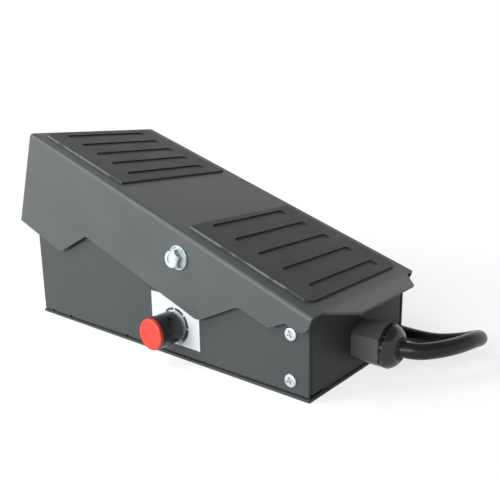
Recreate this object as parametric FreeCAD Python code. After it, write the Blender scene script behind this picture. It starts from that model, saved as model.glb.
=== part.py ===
import FreeCAD, Part
import math
import os

# Foot control pedal: a rocking sheet-steel lid on a box base, with an amperage dial and a trailing cable.
# All sizes are millimetres. X runs from the toe end (minus) to the cable end (plus), Z is up,
# and the origin is the middle of the base's underside.

# Base
base_length = 240.0
base_width = 104.0
sheet = 1.5
base_wall_height = 74.0
base_bend = 2.5
foot_bend = 2.0
flange_width = 12.5
plate_proud = 0.3
plate_past_heel = 0.9
plate_corner = 1.0
relief_width = 2.4
relief_height = 2.2
relief_from_toe = (12.5, 34.5, 98.0)

# Lid, in its own frame: origin on the pivot axis, x towards the cable end, z square to the foot surface
side_gap = 2.5
toe_overhang = 7.0
heel_overhang = 4.6
toe_splay = 1.0
lid_bend = 2.8
pivot_depth = 15.2
rest_tilt = 19.75
pedal_travel = 19.0
pivot_from_heel = 86.5
pivot_below_rim = 10.0
skirt_depths = (67.7, 43.6, 19.8, 11.7)
skirt_step_shares = (0.305, 0.829, 0.947)
skirt_corner_radii = (8.0, 8.0, 3.0)
skirt_notch_radii = (3.5, 9.0, 2.5)
skirt_heel_radius = 5.5
tongue_reach = 12.7
tongue_rise = 12.6
tongue_bend = 20.0
tongue_inset = 10.0
tongue_taper = 16.2

# Rubber treads: thin mats, rounded at the lid's ends and square towards its middle
tread_thickness = 1.2
tread_margin = 8.6
tread_outer_corner = 5.5
tread_inner_corner = 0.8
tread_edge = 0.3
upper_tread_from_toe = 6.0
upper_tread_length = 87.2
lower_tread_from_heel = 8.1
lower_tread_length = 88.3
slot_count = 5
slot_length = 69.0
slot_width = 5.8
slot_depth = 0.9
slot_offset = 1.2
upper_slot_start = 8.4
upper_slot_pitch = 16.95
lower_slot_start = 7.2
lower_slot_pitch = 18.0

# Pivot hardware
bolt_radius = 3.0
bolt_flange_radius = 7.1
bolt_flange_height = 1.2
bolt_hex = 10.0
bolt_head_height = 6.0
bolt_length = 18.0
bush_radius = 4.0
running_clearance = 0.05
bush_slack = 0.1
nut_hex = 10.0
nut_height = 6.0

# Panel and plate fasteners
screw_radius = 2.0
screw_head_radius = 3.6
screw_head_height = 1.4
screw_length = 9.0
screw_inset = 10.6
panel_screw_heights = (9.4, 34.7)
clinch_radius = 3.4
clinch_height = 4.0
thread_clearance = 0.1
press_clearance = 0.02
plate_screws_from_toe = 30.0
plate_screws_from_heel = 34.0
plate_screw_head_radius = 3.8

# Cable end panel
rest_stop_height = 4.6
rest_stop_from_heel = 7.5
rest_stop_radius = 5.0
panel_bend = 2.2
panel_notch = 2.6
panel_foot_gap = 0.05
apron_gap = 0.4
floor_setback = 2.0
panel_gap = 0.25
panel_return = 16.0
panel_top_return = 14.0
gland_height = 18.5

# Dial
label_width = 40.4
label_height = 30.0
label_thickness = 0.25
dial_from_heel = 95.8
label_bottom = 8.4
knob_height = 20.1
knob_radius = 9.6
knob_length = 15.0
knob_stand_off = 2.6
knob_cap_radius = 9.4
knob_cap_thickness = 2.2
knob_recess_radius = 7.5
knob_recess_depth = 4.0
knob_face = 3.0
set_screw_turn = 35.0
set_screw_share = 0.45
set_screw_radius = 1.5
pot_shaft_radius = 3.0
pot_bush_radius = 4.5
pot_nut_hex = 12.0
pot_nut_height = 2.0
pot_washer_radius = 7.0
pot_washer_height = 0.5

# Drive from the lid to the main potentiometer
gear_module = 1.0
gear_spacing = 49.0
gear_ratio = 6
pressure_angle = 25.0
gear_backlash = 0.22
sector_from = -8.0
sector_to = 29.0
gear_middle = 5.5
sector_thickness = 3.0
sector_foot_half = 14.0
sector_foot_width = 18.0
sector_foot_thickness = 2.0
pinion_thickness = 5.0
pot_body_radius = 12.0
pot_body_length = 12.5
bracket_face = 12.0
bracket_half_width = 13.0
bracket_over_axis = 13.0
bracket_side = 12.0
bracket_foot = 16.0
pot_lug_reach = 18.0
pot_lug_pitch = 6.0

# Start switch
switch_length = 27.8
switch_depth = 10.3
switch_height = 15.9
switch_after_pivot = 38.5
switch_y = -31.5
switch_below_rim = 52.0
lever_length = 27.0
lever_thickness = 0.6
plunger_radius = 1.6
touch_gap = 0.3

# Return spring
spring_before_pivot = 68.5
spring_radius = 9.0
spring_wire = 2.2
spring_turns = 9
spring_top_over_pivot = 28.0
seat_radius = 13.5
seat_height = 6.0

# Gland and cable
cable_diameter = 9.0
gland_thread_radius = 8.0
gland_body_hex = 22.0
gland_body_length = 6.2
gland_nut_hex = 23.4
gland_nut_hex_length = 10.2
gland_dome_length = 7.8
gland_groove_count = 18
gland_groove_radius = 0.9
gland_dome_radius = 12.3
gland_mouth_radius = 6.4
locknut_height = 5.0
tail_inside = 24.0
tail_proud = 0.4

# Loose cable beside the base, as points of its route: a loop from the gland's mouth, then along
# the far side. The loop is measured from the mouth, the stretch beside the base from its far corner.
loop_route = [(8.0, 0.0, 18.5), (16.5, 9.5, 18.8), (23.0, 22.5, 19.0), (26.1, 35.5, 19.0),
              (26.1, 46.5, 16.5)]
side_route = [(46.2, 4.0, 13.0), (36.5, 7.5, 8.0), (22.0, 4.8, 4.5), (7.0, 3.8, 4.5), (-14.0, 7.5, 4.5),
              (-50.0, 14.0, 4.5), (-90.0, 18.2, 4.5), (-130.0, 19.0, 4.5),
              (-170.0, 16.6, 4.8), (-198.0, 15.0, 5.8)]

# Coil of the rest of the cable, behind the toe end
coil_from_toe = 15.0
coil_entry_gap = 15.0
coil_least_radius = 38.0
coil_pitch = 9.6
coil_reversals = (2.5, 4.5, 6.5)
coil_turns = 8.5
climb_turns = 0.5
tie_thickness = 1.0
tie_width = 16.0
tie_slack = 0.3
least_gap_allowed = 0.4

# Free end from the coil's top layer down to the plug, measured from the coil's end
end_route = [(8.0, 0.0, 0.0), (18.5, 0.5, -4.2), (28.4, 1.0, -12.3), (38.3, 1.0, -20.6),
             (48.8, 0.6, -25.25), (59.8, 0.6, -25.25)]

# Plug, along its own axis from the cable's end
clamp_radius = 7.0
clamp_back = 5.5
clamp_front = 6.0
neck_radius = 5.6
shell_radius = 8.4
shell_front = 26.0
cavity_depth = 12.0
barrel_radius = 7.0
barrel_wall = 0.8
barrel_front = 44.0
barrel_seat = 4.0
collar_radius = 7.7
collar_thickness = 1.2
ring_radius = 9.3
ring_gap = 0.3
ring_back_wall = 3.0
ring_length = 12.2
ring_bore = 8.1
ring_grooves = 24
key_width = 3.2
key_depth = 10.0
insulator_back = 24.0
insulator_front = 36.0
pin_count = 5
pin_radius = 0.75
pin_circle = 3.4
pin_back = 20.0
pin_front = 42.5


def vec(x, y, z):
    return FreeCAD.Vector(x, y, z)


# Worked-out places
half_length = base_length / 2.0
half_width = base_width / 2.0
wall_inside = half_width - sheet
toe = -half_length
heel = half_length
plate_top = sheet
shell_floor = plate_top + sheet
pivot = vec(heel - pivot_from_heel, 0.0, base_wall_height - pivot_below_rim)
lid_width = base_width + 2.0 * (side_gap + sheet)
lid_toe_reach = base_length - pivot_from_heel + toe_overhang
lid_heel_reach = pivot_from_heel + heel_overhang
lid_length = lid_toe_reach + lid_heel_reach
lower_tread_from_toe = lid_length - lower_tread_from_heel - lower_tread_length
lid_under = pivot_depth - sheet
cable_radius = cable_diameter / 2.0
plate_screw_places = (toe + plate_screws_from_toe, 0.0, heel - plate_screws_from_heel)
pinion_teeth = round(2.0 * gear_spacing / gear_module / (gear_ratio + 1))
sector_teeth = gear_ratio * pinion_teeth
switch_x = pivot.x + switch_after_pivot
switch_z = base_wall_height - switch_below_rim
spring_x = pivot.x - spring_before_pivot
spring_top = pivot.z + spring_top_over_pivot


def export(shape, name):
    shape.exportStep("parts/" + name + ".step")


def box(low, high):
    size = vec(high[0] - low[0], high[1] - low[1], high[2] - low[2])
    return Part.makeBox(size.x, size.y, size.z, vec(*low))


def rod(radius, start, direction, length):
    return Part.makeCylinder(radius, length, start, direction)


def tube(outer, inner, start, direction, length):
    return rod(outer, start, direction, length).cut(rod(inner, start, direction, length))


def hex_prism(across_flats, start, direction, length, turn=30.0):
    """Hexagonal bar along a direction, its flats turned about that direction from square."""
    corner = across_flats / math.sqrt(3.0)
    points = []
    for index in range(7):
        angle = math.radians(60.0 * index + turn)
        points.append(vec(corner * math.cos(angle), corner * math.sin(angle), 0.0))
    prism = Part.Face(Part.makePolygon(points)).extrude(vec(0.0, 0.0, length))
    prism.Placement = FreeCAD.Placement(start, FreeCAD.Rotation(vec(0, 0, 1), direction))
    return prism


def rounded_face(corners, plane="XZ"):
    """Flat face from (a, b, radius) corners, each corner a tangent arc of its radius."""
    def place(a, b):
        if plane == "XZ":
            return vec(a, 0.0, b)
        return vec(a, b, 0.0)
    edges = []
    count = len(corners)
    entries = []
    for index in range(count):
        a, b, radius = corners[index]
        here = place(a, b)
        before = place(*corners[index - 1][:2]) - here
        after = place(*corners[(index + 1) % count][:2]) - here
        before.normalize()
        after.normalize()
        half = before.getAngle(after) / 2.0
        if radius <= 0.0:
            entries.append((here, here, here))
            continue
        reach = radius / math.tan(half)
        bisector = before + after
        bisector.normalize()
        middle = here + bisector * (radius / math.sin(half) - radius)
        entries.append((here + before * reach, middle, here + after * reach))
    for index in range(count):
        start, middle, end = entries[index]
        if start.distanceToPoint(end) > 1e-6:
            edges.append(Part.Arc(start, middle, end).toShape())
        following = entries[(index + 1) % count][0]
        if end.distanceToPoint(following) > 1e-6:
            edges.append(Part.LineSegment(end, following).toShape())
    return Part.Face(Part.Wire(edges))


def across(face, low, high):
    """Extrude a face of the XZ plane over a span of Y."""
    moved = face.copy()
    moved.translate(vec(0.0, low, 0.0))
    return moved.extrude(vec(0.0, high - low, 0.0))


def fillet_where(shape, radius, test):
    """Round the straight edges whose middle point and direction pass a test."""
    chosen = []
    for edge in shape.Edges:
        if edge.Curve.TypeId != "Part::GeomLine":
            continue
        middle = edge.valueAt((edge.FirstParameter + edge.LastParameter) / 2.0)
        if test(middle, edge.tangentAt(edge.FirstParameter)):
            chosen.append(edge)
    return shape.makeFillet(radius, chosen)


def to_world(shape):
    """Put a shape of the lid's own frame in its resting place on the base."""
    placed = shape.copy()
    placed.rotate(vec(0, 0, 0), vec(0, 1, 0), rest_tilt)
    placed.translate(pivot)
    return placed


def lid_point(x, y, z):
    """Resting place of a point of the lid's own frame."""
    angle = math.radians(rest_tilt)
    world_x = x * math.cos(angle) + z * math.sin(angle)
    world_z = z * math.cos(angle) - x * math.sin(angle)
    return pivot + vec(world_x, y, world_z)


def lid_underside(x):
    """Height of the resting lid's underside over a place along the base."""
    angle = math.radians(rest_tilt)
    along = (x - pivot.x - lid_under * math.sin(angle)) / math.cos(angle)
    return lid_point(along, 0.0, lid_under).z


panel_height = lid_underside(heel - rest_stop_from_heel) - rest_stop_height


def skirt_outline():
    """Side view of the lid below its top: a stepped lower edge with 45 degree risers between the steps."""
    beyond_toe = -lid_toe_reach - 5.0
    above = pivot_depth + 1.0
    corners = [(beyond_toe, above, 0.0), (beyond_toe, pivot_depth - skirt_depths[0], 0.0)]
    for index in range(3):
        high = skirt_depths[index]
        low = skirt_depths[index + 1]
        riser_end = skirt_step_shares[index] * lid_length - lid_toe_reach
        riser_start = riser_end - (high - low)
        corners.append((riser_start, pivot_depth - high, skirt_corner_radii[index]))
        corners.append((riser_end, pivot_depth - low, skirt_notch_radii[index]))
    corners.append((lid_heel_reach, pivot_depth - skirt_depths[3], skirt_heel_radius))
    corners.append((lid_heel_reach, above, 0.0))
    return rounded_face(corners)


def make_tongue():
    """Bent lip at the lid's low end, narrowing by chamfered corners to its outer edge."""
    angle = math.radians(tongue_rise)
    root = lid_heel_reach - 6.0
    tip_x = lid_heel_reach + tongue_reach * math.cos(angle)
    tip_z = pivot_depth + tongue_reach * math.sin(angle)
    root_half = lid_width / 2.0 - tongue_inset
    tip_half = root_half - tongue_taper
    under_x = sheet * math.sin(angle)
    under_z = sheet * math.cos(angle)
    bend_shift = sheet * math.tan(angle / 2.0)
    profile = rounded_face([
        (root, pivot_depth, 0.0),
        (lid_heel_reach, pivot_depth, tongue_bend),
        (tip_x, tip_z, 0.0),
        (tip_x + under_x, tip_z - under_z, 0.0),
        (lid_heel_reach + bend_shift, lid_under, tongue_bend + sheet),
        (root, lid_under, 0.0),
    ])
    strip = across(profile, -root_half, root_half)
    plan = Part.Face(Part.makePolygon([
        vec(root - 1.0, -root_half, -1.0),
        vec(lid_heel_reach, -root_half, -1.0),
        vec(tip_x, -tip_half, -1.0),
        vec(tip_x, tip_half, -1.0),
        vec(lid_heel_reach, root_half, -1.0),
        vec(root - 1.0, root_half, -1.0),
        vec(root - 1.0, -root_half, -1.0),
    ]))
    return strip.common(plan.extrude(vec(0.0, 0.0, 60.0)))


def folded_box(inset, heel_reach, bend):
    """Box with rounded top and toe edges, its toe end leaning outwards a little towards the floor."""
    top = pivot_depth - inset
    bottom = pivot_depth - skirt_depths[0] - 6.0
    half = lid_width / 2.0 - inset
    toe_x = inset - lid_toe_reach
    low_x = toe_x - (top - bottom) * toe_splay / skirt_depths[0]
    side = Part.Face(Part.makePolygon([
        vec(toe_x, 0, top),
        vec(low_x, 0, bottom),
        vec(heel_reach, 0, bottom),
        vec(heel_reach, 0, top),
        vec(toe_x, 0, top),
    ]))

    def is_bend(middle, tangent):
        at_top = abs(middle.z - top) < 0.01
        at_toe = middle.x < toe_x + 0.01
        return (at_top and abs(tangent.x) > 0.9) or (at_top and at_toe) or (at_toe and abs(tangent.z) > 0.9)
    return fillet_where(across(side, -half, half), bend, is_bend)


def make_lid():
    half = lid_width / 2.0
    outer = folded_box(0.0, lid_heel_reach, lid_bend)
    inner = folded_box(sheet, lid_heel_reach + 5.0, lid_bend - sheet)
    lid = outer.cut(inner).common(across(skirt_outline(), -half, half))
    lid = lid.fuse(make_tongue()).removeSplitter()
    hole = rod(bush_radius + running_clearance, vec(0.0, -half - 1.0, 0.0), vec(0, 1, 0), lid_width + 2.0)
    return to_world(lid.cut(hole))


def make_tread(from_toe, length, toe_corner, heel_corner, first_slot, slot_pitch):
    """Thin rubber mat with rounded corners and a row of round-ended cross slots."""
    low_x = from_toe - lid_toe_reach
    high_x = low_x + length
    half = lid_width / 2.0 - tread_margin
    plan = rounded_face([(low_x, -half, toe_corner), (high_x, -half, heel_corner),
                         (high_x, half, heel_corner), (low_x, half, toe_corner)], "XY")
    plan.translate(vec(0.0, 0.0, pivot_depth))
    pad = plan.extrude(vec(0.0, 0.0, tread_thickness))
    top = pivot_depth + tread_thickness
    rim = [edge for edge in pad.Edges if abs(edge.BoundBox.ZMin - top) < 0.01]
    pad = pad.makeFillet(tread_edge, rim)
    for index in range(slot_count):
        middle_x = first_slot - lid_toe_reach + index * slot_pitch
        edge_x = slot_width / 2.0
        near_y = slot_offset - slot_length / 2.0
        far_y = slot_offset + slot_length / 2.0
        corner = edge_x * 0.98
        slot = rounded_face([(middle_x - edge_x, near_y, corner), (middle_x + edge_x, near_y, corner),
                             (middle_x + edge_x, far_y, corner), (middle_x - edge_x, far_y, corner)], "XY")
        slot.translate(vec(0.0, 0.0, top - slot_depth))
        pad = pad.cut(slot.extrude(vec(0.0, 0.0, slot_depth + 1.0)))
    return to_world(pad)


def make_upper_tread():
    return make_tread(upper_tread_from_toe, upper_tread_length, tread_outer_corner, tread_inner_corner,
                      upper_tread_from_toe + upper_slot_start, upper_slot_pitch)


def make_lower_tread():
    return make_tread(lower_tread_from_toe, lower_tread_length, tread_inner_corner, tread_outer_corner,
                      lower_tread_from_toe + lower_slot_start, lower_slot_pitch)


def shell_outline():
    """Side view of the base wall: level to the pivot, then sloping under the resting lid."""
    clearance_depth = pivot_depth - sheet - 4.0
    slope = math.tan(math.radians(rest_tilt))
    above_pivot = lid_point(0.0, 0.0, clearance_depth)
    knee_x = above_pivot.x + (above_pivot.z - base_wall_height) / slope
    heel_z = above_pivot.z - (heel - above_pivot.x) * slope
    return rounded_face([(toe, plate_top, 0.0), (heel, plate_top, 0.0), (heel, heel_z, 2.0),
                         (knee_x, base_wall_height, 8.0), (toe, base_wall_height, 0.0)])


def make_base_shell():
    outer = across(shell_outline(), -half_width, half_width)

    def is_toe_corner(middle, tangent):
        return abs(middle.x - toe) < 0.01 and abs(abs(middle.y) - half_width) < 0.01 and abs(tangent.z) > 0.9
    outer = fillet_where(outer, base_bend, is_toe_corner)

    foot = [edge for edge in outer.Edges if abs(edge.BoundBox.ZMin - plate_top) < 0.01
            and abs(edge.BoundBox.ZMax - plate_top) < 0.01 and edge.BoundBox.XMin < heel - 0.01]
    outer = outer.makeFillet(foot_bend, foot)
    hollow = box((toe + sheet, -wall_inside, shell_floor), (heel + 5.0, wall_inside, base_wall_height + 5.0))

    def is_inner_corner(middle, tangent):
        return abs(middle.x - toe - sheet) < 0.01 and abs(tangent.z) > 0.9
    hollow = fillet_where(hollow, base_bend - sheet, is_inner_corner)
    shell = outer.cut(hollow)
    floor_cut = box((toe + flange_width, -half_width + flange_width, 0.0),
                    (heel + 5.0, half_width - flange_width, shell_floor + 1.0))
    end_cut = box((heel - floor_setback, -wall_inside, 0.0), (heel + 5.0, wall_inside, shell_floor + 1.0))
    shell = shell.cut(floor_cut).cut(end_cut)
    top_lip = box((toe + sheet - 0.5, -wall_inside, base_wall_height - sheet),
                  (toe + flange_width, wall_inside, base_wall_height))
    shell = shell.fuse(top_lip).removeSplitter()
    for side in (-1.0, 1.0):
        for distance in relief_from_toe:
            middle = side * (half_width - sheet - 0.6)
            low = (toe + distance - relief_width / 2.0, middle - 2.5, plate_top - 0.5)
            high = (toe + distance + relief_width / 2.0, middle + 2.5, plate_top + relief_height)
            shell = shell.cut(box(low, high))
        shell = shell.cut(rod(bolt_radius + thread_clearance, vec(pivot.x, side * (wall_inside - 1.0), pivot.z),
                              vec(0, side, 0), sheet + 2.0))
        for height in panel_screw_heights:
            shell = shell.cut(rod(screw_radius + thread_clearance,
                                  vec(heel - screw_inset, side * (wall_inside - 1.0), height),
                                  vec(0, side, 0), sheet + 2.0))
        for place in plate_screw_places:
            shell = shell.cut(rod(screw_radius + thread_clearance,
                                  vec(place, side * (half_width - flange_width / 2.0), 0.0), vec(0, 0, 1), 5.0))
    knob_hole = rod(pot_bush_radius + thread_clearance,
                    vec(heel - dial_from_heel, -half_width - 1.0, knob_height),
                    vec(0, 1, 0), sheet + 2.0)
    return shell.cut(knob_hole)


def make_bottom_plate():
    low = (toe - plate_proud, -half_width - plate_proud, 0.0)
    high = (heel + plate_past_heel, half_width + plate_proud, sheet)
    plate = box(low, high)

    def is_corner(middle, tangent):
        return abs(tangent.z) > 0.9
    plate = fillet_where(plate, plate_corner, is_corner)
    for side in (-1.0, 1.0):
        for place in plate_screw_places:
            middle = vec(place, side * (half_width - flange_width / 2.0), 0.0)
            head = Part.makeCone(plate_screw_head_radius + thread_clearance,
                                 screw_radius + thread_clearance, sheet, middle, vec(0, 0, 1))
            plate = plate.cut(head)
    return plate


def make_cable_end_panel():
    """End wall with a top and two side returns, notched where they meet; its foot reaches down between
    the shell's floor flanges."""
    half = wall_inside - panel_gap
    outer = box((heel - panel_return, -half, shell_floor), (heel, half, panel_height))

    def is_front_bend(middle, tangent):
        return abs(middle.x - heel) < 0.01 and middle.z > shell_floor + 0.01
    outer = fillet_where(outer, panel_bend, is_front_bend)
    hollow = box((heel - panel_return - 5.0, -half + sheet, shell_floor - 1.0),
                 (heel - sheet, half - sheet, panel_height - sheet))
    panel = outer.cut(hollow)
    apron_half = half_width - flange_width - apron_gap
    apron = box((heel - sheet, -apron_half, plate_top + panel_foot_gap),
                (heel, apron_half, shell_floor + 1.0))
    panel = panel.fuse(apron).removeSplitter()
    for side in (-1.0, 1.0):
        edges = sorted((side * (half - panel_notch), side * (half + 1.0)))
        panel = panel.cut(box((heel - panel_notch, edges[0], panel_height - panel_notch),
                              (heel + 1.0, edges[1], panel_height + 1.0)))
    top_cut = box((heel - panel_return - 1.0, -half + sheet, panel_height - sheet - 1.0),
                  (heel - panel_top_return, half - sheet, panel_height + 1.0))
    panel = panel.cut(top_cut)
    panel = panel.cut(rod(gland_thread_radius + thread_clearance,
                          vec(heel - sheet - 1.0, 0.0, gland_height), vec(1, 0, 0), sheet + 2.0))
    for side in (-1.0, 1.0):
        for height in panel_screw_heights:
            panel = panel.cut(rod(screw_radius + thread_clearance,
                                  vec(heel - screw_inset, side * (half - sheet - 1.0), height),
                                  vec(0, side, 0), sheet + 2.0))
    return panel


def make_pan_screw(place, inward):
    """Machine screw with a low domed head and a cross recess, its head seated at a place."""
    outward = inward * -1.0
    shank = rod(screw_radius, place, inward, screw_length)
    head = rod(screw_head_radius, place, outward, screw_head_height)
    rim = [edge for edge in head.Edges if edge.Curve.TypeId == "Part::GeomCircle"
           and edge.CenterOfMass.distanceToPoint(place + outward * screw_head_height) < 0.01]
    head = head.makeFillet(screw_head_height * 0.5, rim)
    screw = head.fuse(shank).removeSplitter()
    arm = 2.0
    blade = 0.4
    recess_depth = 0.9
    top = place + outward * (screw_head_height - recess_depth)
    for turn in (0.0, 90.0):
        cutter = Part.makeBox(2.0 * arm, 2.0 * blade, recess_depth + 1.0, vec(-arm, -blade, 0.0))
        cutter.rotate(vec(0, 0, 0), vec(0, 0, 1), turn + 20.0)
        facing = FreeCAD.Placement(top, FreeCAD.Rotation(vec(0, 0, 1), outward))
        cutter.Placement = facing * cutter.Placement
        screw = screw.cut(cutter)
    return screw


def make_panel_screws():
    screws = []
    for side in (-1.0, 1.0):
        for height in panel_screw_heights:
            place = vec(heel - screw_inset, side * half_width, height)
            screws.append(make_pan_screw(place, vec(0, -side, 0)))
    return Part.makeCompound(screws)


def make_panel_nuts():
    """Clinch nuts pressed into the end panel's side returns."""
    nuts = []
    start = wall_inside - panel_gap - sheet
    for side in (-1.0, 1.0):
        for height in panel_screw_heights:
            place = vec(heel - screw_inset, side * start, height)
            nuts.append(tube(clinch_radius, screw_radius + thread_clearance / 2.0, place, vec(0, -side, 0),
                             clinch_height))
    return Part.makeCompound(nuts)


def make_plate_screws():
    screws = []
    for side in (-1.0, 1.0):
        for place in plate_screw_places:
            middle = vec(place, side * (half_width - flange_width / 2.0), 0.0)
            head = Part.makeCone(plate_screw_head_radius, screw_radius, sheet, middle, vec(0, 0, 1))
            shank = rod(screw_radius, middle, vec(0, 0, 1), 7.5)
            screw = head.fuse(shank).removeSplitter()
            for turn in (0.0, 90.0):
                cutter = Part.makeBox(4.0, 0.8, 1.0, vec(-2.0, -0.4, -0.2))
                cutter.rotate(vec(0, 0, 0), vec(0, 0, 1), turn + 35.0)
                cutter.translate(middle)
                screw = screw.cut(cutter)
            screws.append(screw)
    return Part.makeCompound(screws)


def make_plate_nuts():
    nuts = []
    for side in (-1.0, 1.0):
        for place in plate_screw_places:
            middle = vec(place, side * (half_width - flange_width / 2.0), shell_floor)
            nuts.append(tube(clinch_radius, screw_radius + thread_clearance / 2.0, middle, vec(0, 0, 1),
                             clinch_height))
    return Part.makeCompound(nuts)


def make_pivot_bolts():
    """Flange bolts: washer face on the pivot bush, hex head outside, thread through wall and nut."""
    bolts = []
    for side in (-1.0, 1.0):
        outward = vec(0, side, 0)
        seat = vec(pivot.x, side * (half_width + side_gap + sheet + bush_slack), pivot.z)
        flange = Part.makeCone(bolt_flange_radius, bolt_hex * 0.55, bolt_flange_height + 0.8, seat, outward)
        rim = rod(bolt_flange_radius, seat, outward, 0.7)
        head = hex_prism(bolt_hex, seat, outward, bolt_head_height, 12.0)
        crown = Part.makeCone(bolt_hex * 0.72, bolt_hex * 0.45, bolt_head_height * 0.55,
                              seat + outward * (bolt_head_height * 0.5), outward)
        lower = rod(bolt_hex, seat, outward, bolt_head_height * 0.5)
        head = head.common(lower.fuse(crown))
        shank = rod(bolt_radius, seat, outward * -1.0, bolt_length)
        dish = rod(bolt_hex * 0.3, seat + outward * (bolt_head_height - 0.6), outward, 1.0)
        bolt = flange.fuse([rim, head, shank]).removeSplitter()
        bolts.append(bolt.cut(dish))
    return Part.makeCompound(bolts)


def make_pivot_bushes():
    """Short sleeves that keep the bolt heads off the lid, so that it can turn on them."""
    bushes = []
    for side in (-1.0, 1.0):
        start = vec(pivot.x, side * half_width, pivot.z)
        bushes.append(tube(bush_radius, bolt_radius + running_clearance, start, vec(0, side, 0),
                           side_gap + sheet + bush_slack))
    return Part.makeCompound(bushes)


def make_pivot_nuts():
    nuts = []
    for side in (-1.0, 1.0):
        start = vec(pivot.x, side * wall_inside, pivot.z)
        inward = vec(0, -side, 0)
        nut = hex_prism(nut_hex, start, inward, nut_height * 0.72, 0.0)
        collar = rod(nut_hex * 0.48, start, inward, nut_height)
        nut = nut.fuse(collar).removeSplitter()
        nuts.append(nut.cut(rod(bolt_radius + thread_clearance / 2.0, start, inward, nut_height)))
    return Part.makeCompound(nuts)


# The dial on the near side
dial_axis_x = heel - dial_from_heel
label_face = -half_width - label_thickness


def make_dial_label():
    low_x = dial_axis_x - label_width / 2.0
    label = box((low_x, label_face, label_bottom),
                (low_x + label_width, -half_width, label_bottom + label_height))
    hole = rod(pot_bush_radius + thread_clearance, vec(dial_axis_x, label_face - 1.0, knob_height),
               vec(0, 1, 0), 3.0)
    return label.cut(hole)


def make_limit_pot():
    """Small carbon potentiometer behind the wall: body, threaded neck and three lugs."""
    face = -wall_inside
    body = rod(8.2, vec(dial_axis_x, face + 1.0, knob_height), vec(0, 1, 0), 7.5)
    front = rod(8.6, vec(dial_axis_x, face, knob_height), vec(0, 1, 0), 1.0)
    neck = rod(pot_bush_radius, vec(dial_axis_x, label_face - 3.2, knob_height), vec(0, 1, 0),
               face - label_face + 3.2)
    pot = body.fuse([front, neck])
    for step in (-5.0, 0.0, 5.0):
        lug = box((dial_axis_x + step - 1.2, face + 1.4, knob_height - 13.0),
                  (dial_axis_x + step + 1.2, face + 2.0, knob_height - 6.0))
        pot = pot.fuse(lug)
    pot = pot.removeSplitter()
    return pot.cut(rod(pot_shaft_radius + running_clearance,
                       vec(dial_axis_x, label_face - 5.0, knob_height), vec(0, 1, 0),
                       5.0 - label_face + face + 5.0))


def make_limit_pot_nut():
    seat = vec(dial_axis_x, label_face, knob_height)
    outward = vec(0, -1, 0)
    washer = tube(pot_washer_radius, pot_bush_radius + thread_clearance, seat, outward, pot_washer_height)
    nut = hex_prism(pot_nut_hex, seat + outward * pot_washer_height, outward, pot_nut_height)
    nut = nut.cut(rod(pot_bush_radius + thread_clearance, seat, outward, 4.0))
    return Part.makeCompound([washer, nut])


knob_back = label_face - knob_stand_off
knob_front = knob_back - knob_length
set_screw_way = vec(math.sin(math.radians(set_screw_turn)), 0.0, math.cos(math.radians(set_screw_turn)))
set_screw_start = vec(dial_axis_x, knob_back - knob_length * set_screw_share, knob_height)


def make_limit_shaft():
    start = -wall_inside + 4.0
    return rod(pot_shaft_radius, vec(dial_axis_x, start, knob_height), vec(0, -1, 0),
               start - knob_front - knob_face)


def make_knob_body():
    """Smooth round knob, hollow behind for the nut, bored for the shaft, with a side hole for its screw."""
    middle = vec(dial_axis_x, knob_back, knob_height)
    body = rod(knob_radius, middle, vec(0, -1, 0), knob_length)
    rims = [edge for edge in body.Edges if edge.Curve.TypeId == "Part::GeomCircle"
            and abs(edge.CenterOfMass.y - knob_back) < 0.01]
    body = body.makeFillet(0.5, rims)
    recess = rod(knob_recess_radius, middle, vec(0, -1, 0), knob_recess_depth)
    bore = rod(pot_shaft_radius + press_clearance, middle, vec(0, -1, 0), knob_length - knob_face)
    tap = rod(set_screw_radius, set_screw_start, set_screw_way, knob_radius + 1.0)
    return body.cut(recess).cut(bore).cut(tap)


def make_knob_cap():
    cap = rod(knob_cap_radius, vec(dial_axis_x, knob_front, knob_height), vec(0, -1, 0),
              knob_cap_thickness)
    rims = [edge for edge in cap.Edges if edge.Curve.TypeId == "Part::GeomCircle"
            and abs(edge.CenterOfMass.y - knob_front + knob_cap_thickness) < 0.01]
    return cap.makeFillet(0.9, rims)


def make_knob_set_screw():
    start = set_screw_start + set_screw_way * pot_shaft_radius
    screw = rod(set_screw_radius - press_clearance, start, set_screw_way, knob_radius - pot_shaft_radius - 1.6)
    socket = hex_prism(1.5, start + set_screw_way * (knob_radius - pot_shaft_radius - 3.2),
                       set_screw_way, 3.0)
    return screw.cut(socket)


def involute_outline(teeth, tip_extra, root_extra, first, last, phase):
    """Tooth flanks from the involute of the base circle: at radius r the flank lies at
    angle tan(a) - a from its root, where cos(a) = base radius / r. Angles grow from straight
    down towards plus x, and tooth middles stand at phase + (index) * pitch."""
    pitch_radius = gear_module * teeth / 2.0
    base_radius = pitch_radius * math.cos(math.radians(pressure_angle))
    tip_radius = pitch_radius + tip_extra
    root_radius = pitch_radius - root_extra
    pitch = 2.0 * math.pi / teeth

    def inv(radius):
        a = math.acos(min(1.0, base_radius / radius))
        return math.tan(a) - a
    half_tooth = pitch / 4.0 - gear_backlash / 4.0 / pitch_radius
    start_radius = max(root_radius, base_radius)
    levels = 5
    flank = []
    for index in range(levels):
        radius = start_radius + (tip_radius - start_radius) * index / (levels - 1)
        flank.append((radius, half_tooth + inv(pitch_radius) - inv(radius)))
    points = []
    for index in range(first, last):
        middle = phase + index * pitch
        points.append((root_radius, middle - flank[0][1]))
        points.extend((radius, middle - offset) for radius, offset in flank)
        points.extend((radius, middle + offset) for radius, offset in reversed(flank))
        points.append((root_radius, middle + flank[0][1]))
    clean = []
    for radius, angle in points:
        spot = vec(radius * math.sin(angle), 0.0, -radius * math.cos(angle))
        if not clean or clean[-1].distanceToPoint(spot) > 1e-4:
            clean.append(spot)
    return clean


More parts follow.
